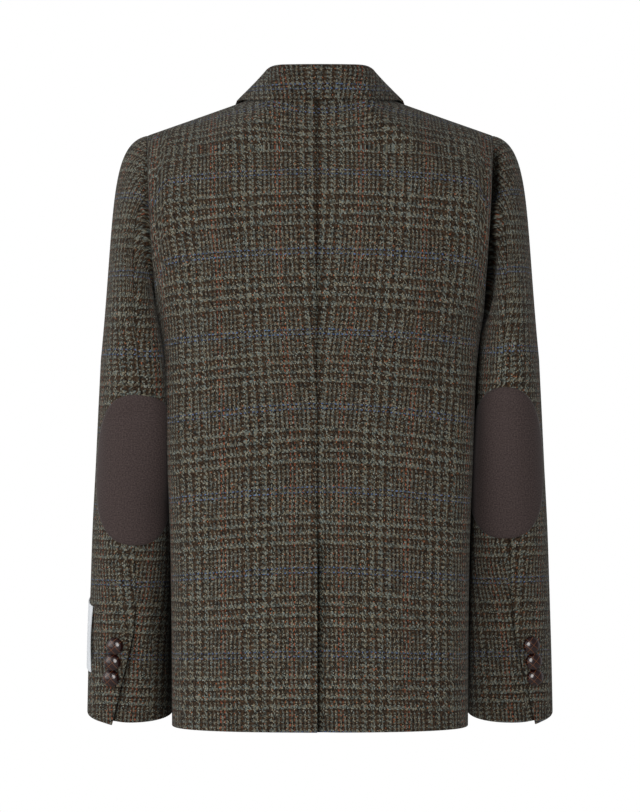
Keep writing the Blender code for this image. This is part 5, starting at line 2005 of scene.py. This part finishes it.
@dataclass(frozen=True)
class Buttons:
    """Domed buttons plaited from leather straps: three on each cuff and three down the front."""

    cuff_size: Pair = (0.0096, 0.0068)  # radius and height
    front_size: Pair = (0.0108, 0.0082)
    front_heights: tuple[float, ...] = (-0.297, -0.387, -0.477)
    cuff_places: tuple[Pair, ...] = (
        (-0.5907, 72.5),
        (-0.6093, 69.5),
        (-0.6277, 68.0),
    )  # height, and degrees round the sleeve
    right_turn: float = 8.5
    gap: float = 0.0005
    loll: tuple[float, float, float] = (0.0, 0.8, 0.24)  # of the cuffs' buttons, added to the normal
    shank: float = 0.0012
    base: float = 0.82  # of the underside, in radii
    groove: Pair = (0.00010, 0.0004)  # depth and reach
    off_centre: float = 0.30  # of the straps' crossing, in radii
    strap: float = 0.32  # half the width of the middle straps, in radii
    slant: float = math.radians(40)  # of the straps
    count: int = 45

    def button(self, node: str, point: Array, normal: Array, size: Pair, side: Side) -> None:
        """Builds one button on a point of the cloth.

        The dome is height x (0.25 + 0.75 sqrt(1 - r^2.1)) over a rim that rounds back in, with
        grooves along the four lines where straps cross.

        Args:
            node: the node that it stands for.
            point: of the cloth, beneath its middle.
            normal: way that it faces.
            size: its radius and height.
            side: the wearer's side.
        """
        radius, height = size
        reach, bearing = disc_grid(self.count)
        normal = unit(normal)
        across = unit(np.cross((0.0, 0.0, 1.0), normal))
        up = np.cross(normal, across)
        u, v = reach * np.cos(bearing), reach * np.sin(bearing)
        off = u + side.value * self.off_centre
        one = off * np.cos(self.slant) + v * np.sin(self.slant)
        other = v * np.cos(self.slant) - off * np.sin(self.slant)
        off_edge = np.minimum(np.abs(np.abs(one) - self.strap), np.abs(np.abs(other) - self.strap))
        dome = height * (0.25 + 0.75 * np.sqrt(np.clip(1 - reach**2.1, 0, 1)))
        dome = dome - bell(off_edge * radius, *self.groove)
        spread = radius * (u[..., None] * across + v[..., None] * up)
        under = point + self.gap * normal
        outer = under + spread + dome[..., None] * normal
        inner = under + spread * self.base
        weave = np.stack([one, other], axis=-1) * self.cuff_size[0]
        made = build_shell(f"{node}_leather", outer, inner, weave, side, sharp=70)
        dress(made, node, LEATHER)

    def build(self) -> None:
        """Builds all nine buttons."""
        for number, (height, degrees) in enumerate(self.cuff_places, 1):
            for side in Side:
                turn = np.radians(degrees - (self.right_turn if side is Side.RIGHT else 0))
                along = SLEEVE.along_at(height)
                point = SLEEVE.point(along, turn, -self.shank)
                normal = SLEEVE.normal(along, turn) + self.loll
                node = f"cuff_button_{side.word}_{number}"
                self.button(node, point, normal, self.cuff_size, side)
        for number, height in enumerate(self.front_heights, 1):
            point = BODY.point(0.0, height, -1)
            normal = point - BODY.point(0.0, height, -1, WALL)
            node = f"front_button_{number}"
            self.button(node, point, normal, self.front_size, Side.LEFT)


# --- studio ---


@dataclass(frozen=True)
class Studio:
    """White backdrop, soft lights by the camera and on the wearer's left, a level camera behind."""

    distance: float = 3.2
    centre_height: float = -0.3366
    frame_height: float = 0.8932
    sensor: float = 36.0
    floor_height: float = -1.0
    floor_radius: float = 1.35
    floor_corners: int = 64
    room: float = 0.30  # light of the room on the camera's side, as a part of the backdrop's
    wings: float = 0.62  # of the room beside and beyond the jacket, out of the backdrop itself
    flagged: float = 0.74  # what a black flag on the wearer's right leaves of the room's light
    ceiling: float = 0.75  # what is left of it straight above
    lights: tuple[tuple[str, tuple[float, ...], float, float], ...] = (
        ("front_softbox", (-0.08, 3.0, -0.15), 1.4, 44.0),
        ("left_softbox", (2.2, 1.7, 0.00), 2.2, 19.5),
        ("left_rim", (2.4, 1.0, 0.30), 1.8, 10.0),
    )

    def camera(self) -> None:
        """Sets the camera: its lens gives the frame's height at the jacket's distance."""
        data = bpy.data.cameras.new("camera")
        data.sensor_width = self.sensor
        data.lens = self.sensor * self.distance / self.frame_height
        made = bpy.data.objects.new("camera", data)
        made.location = (0.0, self.distance, self.centre_height)
        made.rotation_euler = (math.pi / 2, 0.0, math.pi)
        bpy.context.scene.collection.objects.link(made)
        bpy.context.scene.camera = made

    def light(self, name: str, place: tuple[float, ...], size: float, power: float) -> None:
        """Adds a square area light that faces the middle of the jacket.

        Args:
            name: of the light.
            place: its middle.
            size: of its sides.
            power: in watts.
        """
        data = bpy.data.lights.new(name, "AREA")
        data.size = size
        data.energy = power
        made = bpy.data.objects.new(name, data)
        made.location = place
        aim = unit(np.subtract((0.0, 0.0, self.centre_height), place))
        made.rotation_euler = (math.acos(-aim[2]), 0.0, math.atan2(-aim[0], aim[1]))
        bpy.context.scene.collection.objects.link(made)

    def world(self) -> bpy.types.World:
        """The room: a full white backdrop beyond the jacket, and dimmer walls round it.

        The limits of its parts are places on the unit sphere of directions.

        Returns:
            The world.
        """
        made = bpy.data.worlds.new("white_room")
        made.use_nodes = True
        tree = made.node_tree
        tree.nodes.clear()
        towards = add_node(tree, "TexCoord", {}, "Generated")
        x, y, z = add_node(tree, "SeparateXYZ", {0: towards}, None)
        walls = add_node(tree, "MapRange", {0: y, 1: 0.0, 2: 0.2, 3: self.wings, 4: self.room})
        flag = add_node(tree, "MapRange", {0: x, 1: -0.6, 2: 0.1, 3: self.flagged, 4: 1.0})
        above = add_node(tree, "MapRange", {0: z, 1: 0.1, 2: 0.8, 3: 1.0, 4: self.ceiling})
        walls = add_node(tree, "Math", {0: walls, 1: flag}, operation="MULTIPLY")
        walls = add_node(tree, "Math", {0: walls, 1: above}, operation="MULTIPLY")
        backdrop = add_node(tree, "MapRange", {0: y, 1: -0.95, 2: -0.85, 3: 1.0, 4: 0.0})
        strength = add_node(tree, "Mix", {0: backdrop, 2: walls, 3: 1.0}, 0)
        shader = add_node(tree, "Background", {"Color": linear("ffffff"), "Strength": strength})
        add_node(tree, "OutputWorld", {0: shader})
        return made

    def floor(self) -> None:
        """Lays a round floor, a polygon with its corners on a circle."""
        turn = np.linspace(0, 2 * math.pi, self.floor_corners, endpoint=False)
        rim = np.stack([np.cos(turn), np.sin(turn), 0 * turn], axis=-1) * self.floor_radius
        mesh = bpy.data.meshes.new("floor")
        rim = rim + (0.0, 0.0, self.floor_height)
        mesh.from_pydata(rim, [], [range(self.floor_corners)])
        mesh.materials.append(MattPaint().material)
        made = bpy.data.objects.new("floor", mesh)
        bpy.context.scene.collection.objects.link(made)

    def build(self) -> None:
        """Builds the camera, the world, the lights and the floor."""
        scene = bpy.context.scene
        scene.view_settings.view_transform = "Standard"
        self.camera()
        scene.world = self.world()
        for name, place, size, power in self.lights:
            self.light(name, place, size, power)
        self.floor()


def main() -> None:
    logging.basicConfig(level=logging.INFO, format="%(message)s")
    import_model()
    Studio().build()
    body, sleeves, patches = Body(), Sleeves(), ElbowPatches()
    body.build()
    Lapels().build(body)
    Collar().build(body)
    Flaps().build(body)
    for side in Side:
        sleeves.build(side)
        patches.build(sleeves, side)
    CuffLabel().build()
    Buttons().build()


if __name__ == "__main__":
    main()
